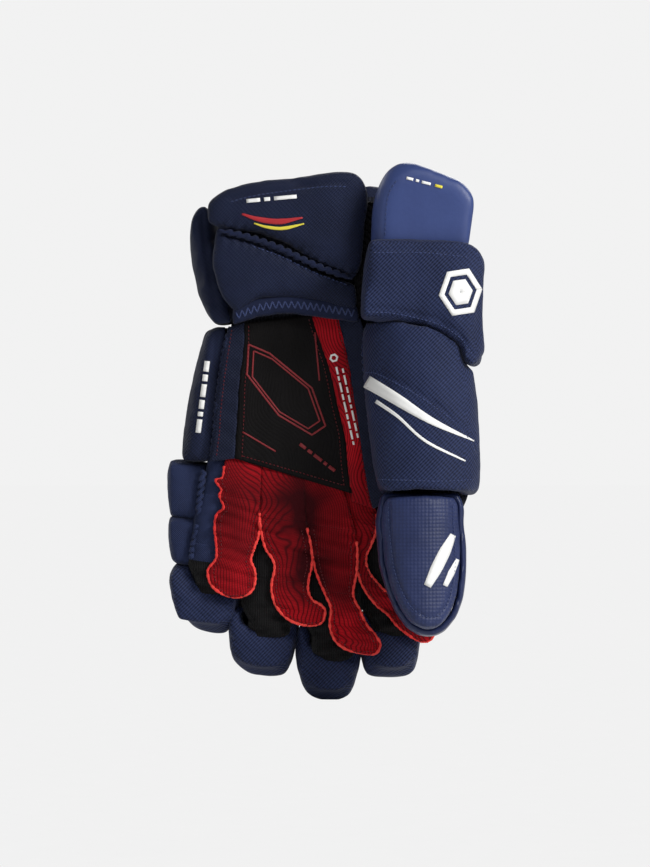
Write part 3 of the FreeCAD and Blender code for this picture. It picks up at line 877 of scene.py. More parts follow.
def dashes(shape, tree, start, end, lengths, gap, half, slot=0, lift=PRINT_LIFT):
    """A row of plain dashes in place of any small print."""
    start, end = np.array(start, float), np.array(end, float)
    along = (end - start) / np.linalg.norm(end - start)
    place = 0.0
    for length in lengths:
        line = np.linspace(start + along * place, start + along * (place + length), 5)
        print_band(shape, tree, line, half, slot, lift, columns=3)
        place += length + gap


def hexagon(centre, radius, turn=0.0, squeeze=1.0):
    """A closed six-sided outline in XZ, squeezed or stretched in height."""
    angles = math.radians(turn) + np.arange(7) * math.pi / 3
    x, z = radius * np.cos(angles), squeeze * radius * np.sin(angles)
    return np.stack([centre[0] + x, centre[1] + z], axis=1)


def print_ring(shape, tree, outline, inner_share, slot=0, lift=PRINT_LIFT):
    """The band between a closed outline and its smaller copy."""
    outline = spline_corners(outline, 8)
    centre = outline[:-1].mean(axis=0)
    grid = []
    for share in np.linspace(1.0, inner_share, 3):
        grid.append(lay_on(tree, centre + (outline - centre) * share, lift))
    grid = np.stack(grid, axis=1)
    shape.add_grid(grid, grid_normals(grid), PRINT_THICK, slot)


def spline_corners(points, per_side):
    """A polyline with straight sides, with more points on each."""
    points = np.array(points, float)
    out = [a + (b - a) * t for a, b in zip(points[:-1], points[1:])
           for t in np.linspace(0, 1, per_side, endpoint=False)]
    return np.array(out + [points[-1]])


def finish_trim(shape, name, body, materials):
    """Stitches and prints that ride on a piece's body."""
    obj = shape.make(name, *materials)
    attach(obj, body)


# ---------------------------------------------------------------- hand lining

SHEET = 1.2               # thickness of leather and fabric sheets
LINING_TOP_Z, LINING_END_Z = -42.0, -189.0
# The lining's walls at its top, and how far each has moved in at its end.
LINING_LEFT, LINING_LEFT_OUT = -65.0, 4.0
LINING_RIGHT, LINING_RIGHT_IN = 70.0, 16.0
LINING_FRONT, LINING_FRONT_IN = -22.0, 1.6
LINING_BACK, LINING_BACK_IN = 31.5, 11.7
LINING_TAPER = 3.4         # the taper behind the cuff ends at 1 / this of the length
LINING_CORNER = 5.0        # power of the rounded rectangle


def oval(cx, cy, half_x, half_y, power, count):
    """Points round a rounded rectangle; a higher power has squarer corners."""
    out = []
    for k in range(count):
        t = 2 * math.pi * k / count
        c, s = math.cos(t), math.sin(t)
        out.append((cx + half_x * math.copysign(abs(c) ** (2 / power), c),
                    cy + half_y * math.copysign(abs(s) ** (2 / power), s)))
    return out


def add_wall_tube(shape, rings, thickness, slot=0):
    """A tube with a wall; rings is rows x points x 3. Both ends are open."""
    rings = np.array(rings, float)
    rows, count = rings.shape[:2]
    centre = rings.mean(axis=1, keepdims=True)
    inward = centre - rings
    inward /= np.maximum(np.linalg.norm(inward, axis=2), 1e-6)[:, :, None]
    inner = rings + inward * thickness
    verts = np.concatenate([rings.reshape(-1, 3), inner.reshape(-1, 3)])
    n = rows * count
    faces = grid_faces(rows, count, wrap=True)
    faces += [tuple(n + i for i in face[::-1]) for face in faces]
    last = (rows - 1) * count
    for j in range(count):
        k = (j + 1) % count
        faces.append((j, n + j, n + k, k))
        faces.append((last + j, last + k, n + last + k, n + last + j))
    shape.add(verts, faces, slot)


def declare_tube(rings):
    """Takes a sewn tube's rings as an array and does nothing more with them."""
    rings = np.array(rings, float)


def make_lining():
    """The knitted lining that closes the hand's inside from the cuff to the knuckles."""
    rings = []
    for z in np.linspace(LINING_TOP_Z, LINING_END_Z, 40):
        share = (LINING_TOP_Z - z) / (LINING_TOP_Z - LINING_END_Z)
        taper = min(1.0, share * LINING_TAPER)
        left = LINING_LEFT - LINING_LEFT_OUT * share
        right = LINING_RIGHT - LINING_RIGHT_IN * taper
        front = LINING_FRONT + LINING_FRONT_IN * share
        back = LINING_BACK - LINING_BACK_IN * taper
        middle = ((left + right) / 2, (front + back) / 2)
        ring = oval(*middle, (right - left) / 2, (back - front) / 2, LINING_CORNER, 72)
        ring = np.array([(x, y, z) for x, y in ring])
        ring[:, 1] += 0.5 * np.sin(ring[:, 0] * 0.45) * np.sin(z * 0.3)
        rings.append(ring)
    shape = Shape()
    add_wall_tube(shape, rings, SHEET)
    obj = shape.make("hand_lining", LINING)
    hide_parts("palm_sheet")
    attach(obj, "hand")
    declare_tube(rings)


make_lining()

# ---------------------------------------------------------------- palm sheets

# Outlines in XZ, from the cuff down.
OVERLAY_LEFT = [(-56.5, -77.8), (-57.2, -95.1), (-59.9, -115.7), (-61.2, -135.7), (-62.5, -155.6),
                (-63.2, -167.6)]
OVERLAY_RIGHT = [(-12, -72.5), (-9.3, -81.8), (-4.7, -95.1), (-0.7, -106.4), (2.7, -119.7), (4.7, -130.3),
                 (8, -143.6), (10.6, -155.6), (12, -172.2), (14.6, -190.9)]
STRIP_RIGHT = [(5.3, -73.8), (10, -93.8), (13.3, -109.7), (15.3, -123.7), (18.6, -143.6), (21.3, -163.6),
               (25.3, -187.5), (28.6, -200.8)]
WEB_RIGHT = [(20, -75.1), (25, -91.1), (29, -105.1), (33, -135.7), (38, -159.6), (41, -195)]
SIDE_LEFT = [(-66.8, -80.5), (-71.2, -103.7), (-75.5, -136.3), (-76.5, -151.6), (-79.2, -169.6)]
PALM_Y = -24.6            # the palm's surface in its middle
PALM_MIDDLE_X, PALM_HALF, PALM_DISH = -25.0, 42.0, 1.3


def cup(x, z):
    """The palm dishes a little towards its middle, with slow waves over it."""
    dish = PALM_DISH * ((x - PALM_MIDDLE_X) / PALM_HALF) ** 2
    return PALM_Y - dish - 0.35 * np.sin(0.11 * z + 0.07 * x) - 0.25 * np.sin(0.31 * x - 0.05 * z)


def overlay_depth(x, z, down, across):
    edge = np.minimum(np.minimum(across, 1 - across) * 14, (1 - down) * 30)
    return cup(x, z) - 0.5 * np.clip(edge, 0, 1) - 0.2


def strip_depth(x, z, down, across):
    crown = 1.2 * np.sin(math.pi * across)
    tuck = 2.6 * np.clip((down - 0.9) / 0.1, 0, 1)
    return cup(x, z) - 0.8 - crown - 1.4 * across * (1 - down) + tuck


def web_depth(x, z, down, across):
    towards_thumb = 11.0 * across ** 1.4 * (0.35 + 0.65 * down)
    return cup(x, z) - 1.8 - towards_thumb + 0.5 * np.sin(0.5 * z) * (1 - across)


def side_depth(x, z, down, across):
    return cup(x, z) - 0.2 + 3.0 * (1 - across) ** 1.6 - 0.4 * np.sin(0.42 * z + x * 0.2)


def palm_piece(name, grid, node, material, to_thumb=None):
    """A palm sheet that rides on the hand, or, with to_thumb, one left where it is built; to_thumb's two points
    are not used.
    """
    shape = Shape()
    shape.add_grid(grid, grid_normals(grid), SHEET)
    obj = shape.make(name, material)
    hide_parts(node)
    if to_thumb:
        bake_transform(obj)
    else:
        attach(obj, "hand")
    return obj


# The overlay's lower edge runs from the little finger's side down to the index finger's.
overlay_grid = loft(OVERLAY_LEFT, OVERLAY_RIGHT, 60, 34, overlay_depth)
overlay = palm_piece("palm_overlay_suede", overlay_grid, "palm_overlay", BLACK)
strip_grid = loft(OVERLAY_RIGHT[:-1] + [(14.6, -196)], STRIP_RIGHT, 60, 12, strip_depth)
strip = palm_piece("palm_thumb_strip_suede", strip_grid, "palm_thumb_strip", RED)
side_grid = loft(SIDE_LEFT, OVERLAY_LEFT, 46, 10, side_depth)
palm_piece("side_strip_fabric", side_grid, "side_strip", NAVY_WEB)
web_grid = loft(STRIP_RIGHT, WEB_RIGHT, 56, 12, web_depth)
palm_piece("thumb_web_fabric", web_grid, "thumb_web_strip", NAVY_WEB,
           to_thumb=((22, -30, -130), (40, -36, -132)))

# ---------------------------------------------------------------- finger leathers and stretch socks

# The palm leather's two edges on every finger, from under the overlay to the fingertip.
FINGER_LEFT = {
    "pinky": [(-67.8, -164.3), (-69.8, -170.2), (-71.2, -180.2), (-75.8, -182.2), (-71.8, -188.2),
              (-73.2, -192.2), (-70.5, -200.2), (-75.1, -204.8), (-76.5, -212.1), (-75.8, -220.8),
              (-75.1, -228.1), (-75.8, -234.7), (-80.5, -240.7), (-80.5, -246.7), (-77.1, -253.4),
              (-69.8, -258), (-61.2, -260)],
    "ring": [(-45.2, -168.2), (-45.9, -182.9), (-46.6, -201.5), (-45.9, -213.5), (-43.2, -226.1),
             (-37.9, -234.7), (-36.6, -240.7), (-38.6, -250.7), (-37.9, -259.4), (-34.6, -267.3),
             (-27.9, -274), (-20.6, -277.3), (-11.3, -278.6)],
    "middle": [(-18, -176.2), (-16.6, -194.8), (-15.3, -212.1), (-12.6, -226.1), (-10, -240.1),
               (-6.7, -249.4), (-2, -260), (0.7, -267.3), (0, -278.6), (3.3, -287.9), (10.6, -293.9),
               (23.3, -297.3)],
    "index": [(6.7, -184.2), (13.3, -202.8), (17.3, -220.8), (18.6, -233.4), (18.6, -243.4), (22.6, -254),
              (30.6, -264.7), (38.6, -271.3), (44.6, -278.6), (53.9, -285.9), (62.5, -289.9)],
}
FINGER_RIGHT = {
    "pinky": [(-45.2, -168.2), (-45.9, -182.9), (-46.6, -201.5), (-47.2, -217.5), (-49.9, -226.1),
              (-52.5, -234.7), (-49.9, -242.1), (-49.9, -250.7), (-53.2, -256.7), (-61.2, -260)],
    "ring": [(-18, -176.2), (-16.6, -194.8), (-15.3, -212.1), (-12.6, -226.1), (-12, -237.4), (-14, -246.7),
             (-14.6, -254.7), (-12, -261.3), (-6, -264.7), (-3.3, -269.3), (-5.3, -276), (-11.3, -278.6)],
    "middle": [(6.7, -184.2), (13.3, -202.8), (17.3, -220.8), (18, -233.4), (17.3, -244.7), (15.3, -258),
               (20, -268.7), (23.9, -277.3), (29.9, -284.6), (33.2, -290.6), (30.6, -296.6), (23.3, -297.3)],
    "index": [(27.3, -190.9), (30.6, -202.8), (30.6, -215.5), (27.3, -224.8), (23.9, -233.4), (25.3, -242.1),
              (30.6, -249.4), (37.2, -256), (47.9, -261.3), (62.5, -272), (69.2, -281.3), (67.2, -287.3),
              (62.5, -289.9)],
}
# The height below which each edge is a free, cut edge: left, right.
FREE_BELOW = {"pinky": (-172, -203), "ring": (-203, -214), "middle": (-214, -222), "index": (-222, -204)}
SOCK_END = 17.0           # the sock ends this far above the fingertip, inside the cap
INDEX_BACK = 2.2          # the index finger lies this much further back, so that the thumb clears it
FULL_WIDTH = 26.0         # a strip of leather at least this wide has its full crown and flare
SOCK_THICK = 0.9
THREAD_LIFT = 0.75        # a stitch row's height over the middle of its sheet
EDGE_ROLL, END_ROLL = 0.95, 0.85               # radii of the rolled cut edges: sides and fingertip
# The leather from the knuckle to the tip: its edges' y, and how far its middle stands forward of them.
LEATHER_EDGE_Y, LEATHER_CROWN = (-23.4, -24.2, -24.4, -26.4, -27.0), (0.0, 2.6, 3.2)
BREAK_DIP, BREAK_WIDE = 1.6, 3.2               # the leather dips in at each break
EDGE_FLARE = 1.3                               # and its free edges turn up
# The sock from the knuckle to the tip: its front's y, and its half widths to either side.
SOCK_FRONT_Y, SOCK_BACK_Y = (-20.5, -21.6, -22.6, -24.6, -25.4, -14.0), 5.5
SOCK_LEFT, SOCK_RIGHT = (14.4, 18.4, 18.2, 12.0), (14.4, 19.6, 21.4, 17.4)
# Stitch rows: pitch, the share of it that is thread, and the thread's radius.
LEATHER_STITCH, TIP_STITCH, PALM_STITCH = (2.6, 0.62, 0.33), (2.4, 0.62, 0.33), (2.6, 0.6, 0.3)


def leather_depth(line, grid):
    """How far the finger's leather stands forward."""
    s = line.s_of(grid)
    across = np.linspace(0, 1, grid.shape[1])[None, :]
    edge = np.interp(s, [-14, 4, line.first, line.second, line.end - 30], LEATHER_EDGE_Y)
    edge = edge + (INDEX_BACK if line.name == "index" else 0.0)
    crown = np.interp(s, [-10, 14, line.end - 10], LEATHER_CROWN) * np.sin(math.pi * across) ** 0.8
    places = (line.first, line.second)
    breaks = sum(BREAK_DIP * np.exp(-((s - place) / BREAK_WIDE) ** 2) for place in places)
    ripple = 0.75 * np.sin(0.42 * s + 3.0 * across) + 0.5 * np.sin(0.9 * s - 5 * across)
    wide = np.clip(np.linalg.norm(grid[:, -1] - grid[:, 0], axis=1) / FULL_WIDTH, 0.1, 1)[:, None]
    crown = crown * wide
    open_edge = np.interp(s, [8, 24], [0.0, 1.0]) * wide
    flare = EDGE_FLARE * open_edge * (np.abs(2 * across - 1) ** 6) * (1 + 0.7 * np.sin(0.8 * s))
    return edge - crown + breaks + ripple * open_edge - flare


def run_of_true(flags):
    """First and last place of a row of true values, or nothing if there are hardly any."""
    found = np.flatnonzero(flags)
    return (found[0], found[-1] + 1) if len(found) > 3 else None


def make_leathers(line):
    """The finger's palm leather in its three lengths, with rolled cut edges and stitch rows."""
    name = line.name
    grid = loft(FINGER_LEFT[name], FINGER_RIGHT[name], 150, 16, lambda x, z, down, across: 0 * x)
    grid = grid[:-2]
    grid[:, :, 1] = leather_depth(line, grid)
    s = line.s_of(grid.mean(axis=1))
    for part, bodies, start, end, bend in line.parts():
        rows = np.flatnonzero((s >= start) & (s <= end))
        first, last = rows[0], min(rows[-1] + 2, len(grid))
        piece = grid[first:last]
        normal = grid_normals(grid)[first:last]
        shape = Shape()
        shape.add_grid(piece, normal, SHEET)
        for side, column, inset in ((0, 0, 2), (1, -1, -3)):
            free = run_of_true(piece[:, column, 2] < FREE_BELOW[name][side])
            if free is None:
                continue
            a, b = free
            shape.add_tube(piece[a:b, column], EDGE_ROLL, 1, ripple=0.16, ripples=(b - a) / 5, taper=False)
            stitches = piece[a:b, inset] + normal[a:b, inset] * THREAD_LIFT
            seam_row(shape, stitches, *LEATHER_STITCH, 2)
        if part == "tip":
            tail = len(piece) - 9
            across = piece[tail, 2:-2] + normal[tail, 2:-2] * THREAD_LIFT
            seam_row(shape, across, *TIP_STITCH, 2)
            shape.add_tube(piece[-1], END_ROLL, 1, taper=False)
        obj = shape.make("leather_%s_%s" % (name, part), RED_GRID, CORAL, MAROON_THREAD)
        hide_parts("%s_%s_palm" % (name, part))
        line.bend(obj, bodies, bend)


def sock_ring(line, s):
    """One ring of the stretch fabric round the finger."""
    front_at = [-8, 0, line.first, line.second, line.end - 32, line.end - SOCK_END]
    front = np.interp(s, front_at, SOCK_FRONT_Y)
    front += INDEX_BACK if line.name == "index" else 0.0
    closing = np.interp(s, [line.end - 30, line.end - SOCK_END], [1.0, 0.7])
    left_at = [0, line.first, line.second, line.second + 10]
    right_at = [0, line.first - 8, line.second, line.second + 12]
    half_left = np.interp(s, left_at, SOCK_LEFT) * closing
    half_right = np.interp(s, right_at, SOCK_RIGHT) * closing
    ring = []
    for x, y in oval(0, (front + SOCK_BACK_Y) / 2, 1.0, (SOCK_BACK_Y - front) / 2, 2.5, 40):
        wide = x * (half_right if x > 0 else half_left)
        into = min(1.0, max(0.0, -y - 8) / 16)
        fold = 0.6 * math.sin(0.8 * s + 0.16 * wide + len(line.name))
        fold += 0.5 * math.sin(0.42 * s - 0.2 * wide + 1)
        near_tip = np.interp(s, [line.second - 6, line.second + 8], [0.35, 1.4])
        ring.append(line.point(s, wide, y - into * fold * 1.6 * near_tip))
    return ring


def make_socks(line):
    """Stretch fabric round a finger's three lengths; the little finger's outer side is navy."""
    rings_at = np.linspace(-9.0, line.end - SOCK_END, 90)
    for part, bodies, start, end, bend in line.parts():
        inside = np.flatnonzero((rings_at >= start) & (rings_at <= end))
        rows = rings_at[inside[0]:min(inside[-1] + 2, len(rings_at))]
        rings = [sock_ring(line, s) for s in rows]
        shape = Shape()
        add_wall_tube(shape, rings, SOCK_THICK)
        obj = shape.make("sock_%s_%s" % (line.name, part), STRETCH, NAVY_FINE)
        if line.name == "pinky":
            for face in obj.data.polygons:
                at = np.array(face.center) / MM - line.knuckle
                outer_side = at @ line.across < 2 and at @ line.along < line.second - 4
                face.material_index = 1 if outer_side else 0
        if part != "tip":
            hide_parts("%s_%s_gusset" % (line.name, part))
        line.bend(obj, bodies, bend)
        declare_tube(rings)


for finger_name in FINGERS:
    finger_line = FingerLine(finger_name)
    make_socks(finger_line)
    make_leathers(finger_line)

# ---------------------------------------------------------------- thumb's inner side and side web

THUMB_LEAN = math.radians(6.0)
THUMB_PIVOT = np.array(JOINTS["thumb_swing"]["pos_m"]) / MM


def leaned(points):
    """From the upright thumb to the thumb as it is built, leaned away from the palm."""
    points = np.array(points, float)
    rel = points - THUMB_PIVOT
    c, s = math.cos(-THUMB_LEAN), math.sin(-THUMB_LEAN)
    turned = rel.copy()
    turned[..., 1] = rel[..., 1] * c - rel[..., 2] * s
    turned[..., 2] = rel[..., 1] * s + rel[..., 2] * c
    return turned + THUMB_PIVOT


THUMB_INNER_LEFT = [(26, -84), (27, -105), (31, -136), (36, -160), (41, -186), (40, -206), (42, -235),
                    (49, -258), (58, -270)]
THUMB_INNER_RIGHT = [(86, -92), (90, -108), (91, -128), (92, -158), (91, -186), (84, -206), (83, -235),
                     (78, -258), (68, -270)]
THUMB_SPLIT_Z = -174.0     # the seam between the thumb's two inner pieces


def thumb_inner_depth(x, z, down, across):
    return -37.0 + 2.2 * np.sin(math.pi * across) ** 0.7 + 0.4 * np.sin(0.4 * z)


def make_thumb_inner():
    """Knitted fabric that closes the thumb's inner side, in two pieces."""
    grid = leaned(loft(THUMB_INNER_LEFT, THUMB_INNER_RIGHT, 70, 18, thumb_inner_depth))
    split = int(np.argmin(np.abs(grid[:, 0, 2] - THUMB_SPLIT_Z)))
    for name, rows, node in (("thumb_base_lining", grid[:split + 1], "thumb_base_gusset"),
                             ("thumb_tip_lining", grid[split:], "thumb_tip_gusset")):
        shape = Shape()
        shape.add_grid(rows, grid_normals(rows), SHEET)
        obj = shape.make(name, LINING)
        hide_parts(node)
        if node == "thumb_base_gusset":
            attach(obj, "thumb_base")
        else:
            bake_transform(obj)


SIDE_WEB_TOP_Z, SIDE_WEB_HEIGHT, SIDE_WEB_SAG = -84, 96, 5.0


def make_thumb_side_web():
    """Fabric from the hand's thumb side to the thumb's outer edge, so that the side is closed."""
    rows, columns = 50, 22
    grid = np.empty((rows, columns, 3))
    for i, t in enumerate(np.linspace(0, 1, rows)):
        z = SIDE_WEB_TOP_Z - SIDE_WEB_HEIGHT * t
        hand_end = np.array([53.5, 12.0, z])
        thumb_end = leaned([(88 - 4 * t, -38.0, z - 2)])[0]
        for j, u in enumerate(np.linspace(0, 1, columns)):
            point = hand_end * (1 - u) + thumb_end * u
            sag = SIDE_WEB_SAG * math.sin(math.pi * u)
            fold = 0.6 * math.sin(u * 22 + t * 6)
            grid[i, j] = point + np.array([-sag + fold * 0.6, sag * 0.4 + fold, 0])
    shape = Shape()
    shape.add_grid(grid, grid_normals(grid), SHEET)
    obj = shape.make("thumb_side_web", NAVY_WEB)
    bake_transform(obj)


make_thumb_inner()
make_thumb_side_web()

# ---------------------------------------------------------------- elastic channel

ELASTIC_LEFT = [(17, 2), (18, -20), (17, -44), (14, -73)]
ELASTIC_RIGHT = [(34, 2), (35, -20), (34, -44), (32, -73)]
ELASTIC_Y = -30.0


def elastic_depth(x, z, down, across):
    held_edges = np.sin(math.pi * np.clip(across * 1.1, 0, 1)) ** 0.5
    gathers = 1.5 * np.sin(1.35 * z + 2.2 * np.sin(0.5 * x)) * held_edges
    return ELASTIC_Y + gathers - 2.0 * np.sin(math.pi * across)


def make_elastic():
    """The gathered channel between the palm cuff and the thumb cuff."""
    grid = loft(ELASTIC_LEFT, ELASTIC_RIGHT, 150, 14, elastic_depth)
    shape = Shape()
    shape.add_grid(grid, grid_normals(grid), SHEET)
    obj = shape.make("cuff_elastic_gathers", STRETCH)
    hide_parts("cuff_elastic")
    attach(obj, "hand")


make_elastic()

# ---------------------------------------------------------------- seams, ruffles and stitches on the pads

CUFF_FOLD = [(-73, -17), (-51, -22.5), (-32, -29.5), (-9, -40.5), (14, -49)]
BINDING_TOP = [(-63.5, -68), (-44.5, -61), (-26.5, -60), (-9, -61), (17, -65.6)]
BINDING_BOTTOM = [(-63.5, -79), (-44.5, -73), (-28, -71), (-12, -73), (18, -77.2)]
CUFF_TOP_SEAM = [(-66, 4), (-50, 8), (-26, 11.5), (-3, 14), (10, 14)]
SIDE_ROLL_SEAM = [(-84, -6), (-83.5, -20), (-81, -40), (-76, -66)]
SIDE_PAD_SEAM = [(-76, -85), (-78.5, -110), (-81, -140), (-85, -166)]
BAND_SEAMS = ([(28, -31), (60, -31), (92, -34)], [(24, -69), (42, -70), (68, -76), (84, -85), (93, -99)])
THUMB_EDGE = [(22, -84), (23.2, -105), (26.2, -136), (29.2, -160), (33, -180)]
THUMB_EDGE_Y = -44.0
ROLL_MIDDLE_Z = {"back_roll_wrist": -95, "back_roll_middle": -127, "back_roll_knuckle": -163}
HAND_CHANNELS = (-52, -6, 40)                  # x of the sewn channels across the hand's rolls
CUFF_CHANNELS = (-36, 34)
THUMB_OVERLAY_SEAM = [(23, -109), (30, -109.5), (42.6, -115.7), (57.9, -124.4), (73.2, -135), (85.1, -144.3),
                      (93.1, -155), (97, -162)]
THUMB_TIP_SEAM = [(38, -196), (38.5, -212), (41, -236), (45, -250), (52, -263), (61, -269.5), (69, -269.5),
                  (76, -262), (80, -248), (81.5, -230), (80.5, -212), (80, -197)]


def press_pads():
    """Sewn grooves in the swollen pads, with puckers beside them."""
    for node in ("cuff_palm_upper_pad", "cuff_palm_lower_pad"):
        press_seam(pads[node], CUFF_FOLD, 3.2, 2.2, pucker=0.9, pucker_pitch=6.5)
    press_seam(pads["cuff_palm_upper_pad"], CUFF_TOP_SEAM, 0.9, 1.4)
    press_seam(pads["cuff_side_roll"], SIDE_ROLL_SEAM, 1.6, 2.0, pucker=0.5)
    press_seam(pads["side_hand_pad"], SIDE_PAD_SEAM, 1.4, 1.8, pucker=0.3)
    for line in BAND_SEAMS:
        press_seam(pads["cuff_thumb_band"], line, 0.9, 1.1)
    press_seam(pads["thumb_base_pad"], THUMB_OVERLAY_SEAM, 1.1, 1.3)
    press_seam(pads["thumb_tip_pad"], THUMB_TIP_SEAM, 0.9, 1.1)
    for node, z in ROLL_MIDDLE_Z.items():
        for x in HAND_CHANNELS:
            press_seam(pads[node], [(x, z + 22), (x - 2, z - 26)], 2.4, 2.4, front=1, pucker=0.4)
    for x in CUFF_CHANNELS:
        press_seam(pads["cuff_back_roll"], [(x, 20), (x + 2, -76)], 3.0, 3.0, front=1, pucker=0.5)
    press_seam(pads["cuff_back_roll"], [(-80, -34), (76, -34)], 3.2, 3.0, front=1, pucker=0.5)
    for finger in FINGERS:
        press_seam(pads[finger + "_tip_cap"], cap_seam(finger), 0.8, 1.2)


def cap_seam(finger):
    """The seam across a fingertip's padded cap."""
    low, high = box_mm(finger + "_tip_cap")
    middle_x = (low[0] + high[0]) / 2
    return [(low[0] - 4, low[2] + 26), (middle_x, low[2] + 10), (high[0] + 4, low[2] + 18)]


def ruffle(name, line, depth, radius, body, count, material):
    """A gathered strip sewn into a fold."""
    path = spline(line, 160)
    wave = np.linspace(0, 1, 160) * count * 2 * math.pi
    y = depth + 0.5 * np.sin(wave)
    points = np.stack([path[:, 0], y, path[:, 1] + 0.35 * np.sin(wave + 1)], axis=1)
    shape = Shape()
    shape.add_tube(points, radius, 0, sides=10, ripple=0.3, ripples=count)
    finish_trim(shape, name, body, (material,))


THREAD_RADIUS, THREAD_SHARE, SEAM_LIFT = 0.34, 0.62, 0.25


def seam_on(shape, node, line, pitch, count=60, look=FROM_FRONT):
    """Stitches laid along a line on a pad."""
    path = lay_on(surface_of(pads[node]), spline(line, count), SEAM_LIFT, look)
    seam_row(shape, path, pitch, THREAD_SHARE, THREAD_RADIUS)


def stitch_piece(name, node, *rows):
    """One piece of stitch rows on pads; each row is a pad, a line and a pitch."""
    threads = Shape()
    for pad, line, pitch in rows:
        seam_on(threads, pad, line, pitch)
    finish_trim(threads, name, body_of_node(node), (NAVY_THREAD,))


def lowered(line, amount):
    """The same line further down."""
    return [(x, z - amount) for x, z in line]


ZIGZAG_STEP, ZIGZAG_SHARE = 2.1, 0.22          # along the binding, and to either side as a share of its width


def cuff_palm_trim():
    """The binding's zigzag and the rows of stitches along the palm cuff's seams."""
    shape = Shape()
    tree = surface_of(pads["cuff_palm_binding"])
    top, bottom = spline(BINDING_TOP, 90), spline(BINDING_BOTTOM, 90)
    middle = (top * 0.46 + bottom * 0.54)
    run = run_along(middle)
    steps = np.arange(1.5, run[-1] - 1.0, ZIGZAG_STEP)
    across = bottom - top
    corners = []
    for i, step in enumerate(steps):
        centre = np.array([np.interp(step, run, middle[:, k]) for k in range(2)])
        wide = np.array([np.interp(step, run, across[:, k]) for k in range(2)])
        corners.append(centre + wide * (ZIGZAG_SHARE if i % 2 else -ZIGZAG_SHARE))
    placed = lay_on(tree, corners, 0.3)
    for a, b in zip(placed[:-1], placed[1:]):
        shape.add_stitch(a, b, 0.42)
    upper = [(-66, 1.5), (-50, 5.5), (-26, 9), (-3, 11.5), (12, 11.5)]
    seam_on(shape, "cuff_palm_upper_pad", upper, pitch=3.0)
    seam_on(shape, "cuff_palm_lower_pad", lowered(CUFF_FOLD[1:], 5.0), pitch=3.0)
    finish_trim(shape, "cuff_palm_stitches", "cuff_palm", (NAVY_THREAD,))


def cuff_palm_prints():
    """Generic stripes and dashes where the cuff carries its printed graphic."""
    shape = Shape()
    tree = surface_of(pads["cuff_palm_upper_pad"])
    dashes(shape, tree, (-55, 2.0), (-20, 5.2), (9, 4, 15), 2.6, 1.25, 0)
    upper = spline([(-58, -6.5), (-47, -10), (-33, -11.5), (-18, -9)], 30)
    lower = spline([(-50, -12.6), (-42, -15), (-31, -16), (-17, -13)], 26)
    print_band(shape, tree, upper, (0.6, 1.7, 1.9, 0.5), 1)
    print_band(shape, tree, lower, (0.4, 1.0, 1.1, 0.4), 2)
    inks = (WHITE_PRINT, RED_PRINT, YELLOW_PRINT)
    finish_trim(shape, "cuff_palm_prints", "cuff_palm", inks)


def cuff_thumb_trim():
    """Dashes on the thumb cuff's panel, a plain badge on its band, and their stitches."""
    shape = Shape()
    panel = surface_of(pads["cuff_thumb_panel"])
    dashes(shape, panel, (50, 16.0), (78, 8.6), (4.5, 2.2, 6.0), 1.8, 0.9, 0)
    dashes(shape, panel, (68.6, 11.1), (78, 8.6), (5.0,), 1.8, 0.9, 1)
    band = surface_of(pads["cuff_thumb_band"])
    badge = hexagon((85, -59), 14.5, turn=8, squeeze=1.15)
    print_ring(shape, band, badge, 0.74, 0)
    print_ring(shape, band, hexagon((85, -59), 8.0, turn=8, squeeze=1.15), 0.04, 0)
    finish_trim(shape, "cuff_thumb_prints", "cuff_thumb", (WHITE_PRINT, YELLOW_PRINT))
    stitch_piece("cuff_thumb_stitches", "cuff_thumb_band",
                 ("cuff_thumb_band", lowered(BAND_SEAMS[0], 2.5), 2.7),
                 ("cuff_thumb_band", [(24, -72), (42, -73), (68, -79), (84, -88), (94, -101)], 2.7),
                 ("cuff_thumb_panel", [(36, -22), (37, -2), (40, 9), (46, 17)], 3.2))


def thumb_trim():
    """A tapered slash on the thumb's base, two bars on its tip, and their stitches."""
    base = surface_of(pads["thumb_base_pad"])
    shape = Shape()
    slash = spline([(24, -117), (42, -128), (66, -143), (94, -156)], 40)
    print_band(shape, base, slash, (4.2, 3.6, 2.0, 0.4), 0)
    line = spline([(30, -130), (44, -140), (62, -156), (88, -169)], 40)
    print_band(shape, base, line, (1.2, 0.9, 0.9, 0.5), 0)
    finish_trim(shape, "thumb_base_prints", "thumb_base", (WHITE_PRINT,))
    tip = surface_of(pads["thumb_tip_pad"], pads["thumb_tip_border"])
    shape = Shape()
    print_band(shape, tip, np.linspace((63, -250), (80, -217), 14), (2.4, 3.8, 3.8, 2.0), 0)
    print_band(shape, tip, np.linspace((74.5, -250), (83, -233), 9), (1.6, 2.2, 1.2), 0)
    finish_trim(shape, "thumb_tip_prints", "thumb_tip", (WHITE_PRINT,))
    stitch_piece("thumb_base_stitches", "thumb_base_pad",
                 ("thumb_base_pad", offset_line(spline(THUMB_OVERLAY_SEAM, 40), 2.2), 2.7),
                 ("thumb_base_pad", [(31, -181), (52, -181.5), (74, -182), (95, -181)], 3.0))
    threads = Shape()
    seam_on(threads, "thumb_tip_pad", THUMB_TIP_SEAM, pitch=2.6, count=120)
    finish_trim(threads, "thumb_tip_stitches", "thumb_tip", (NAVY_THREAD,))


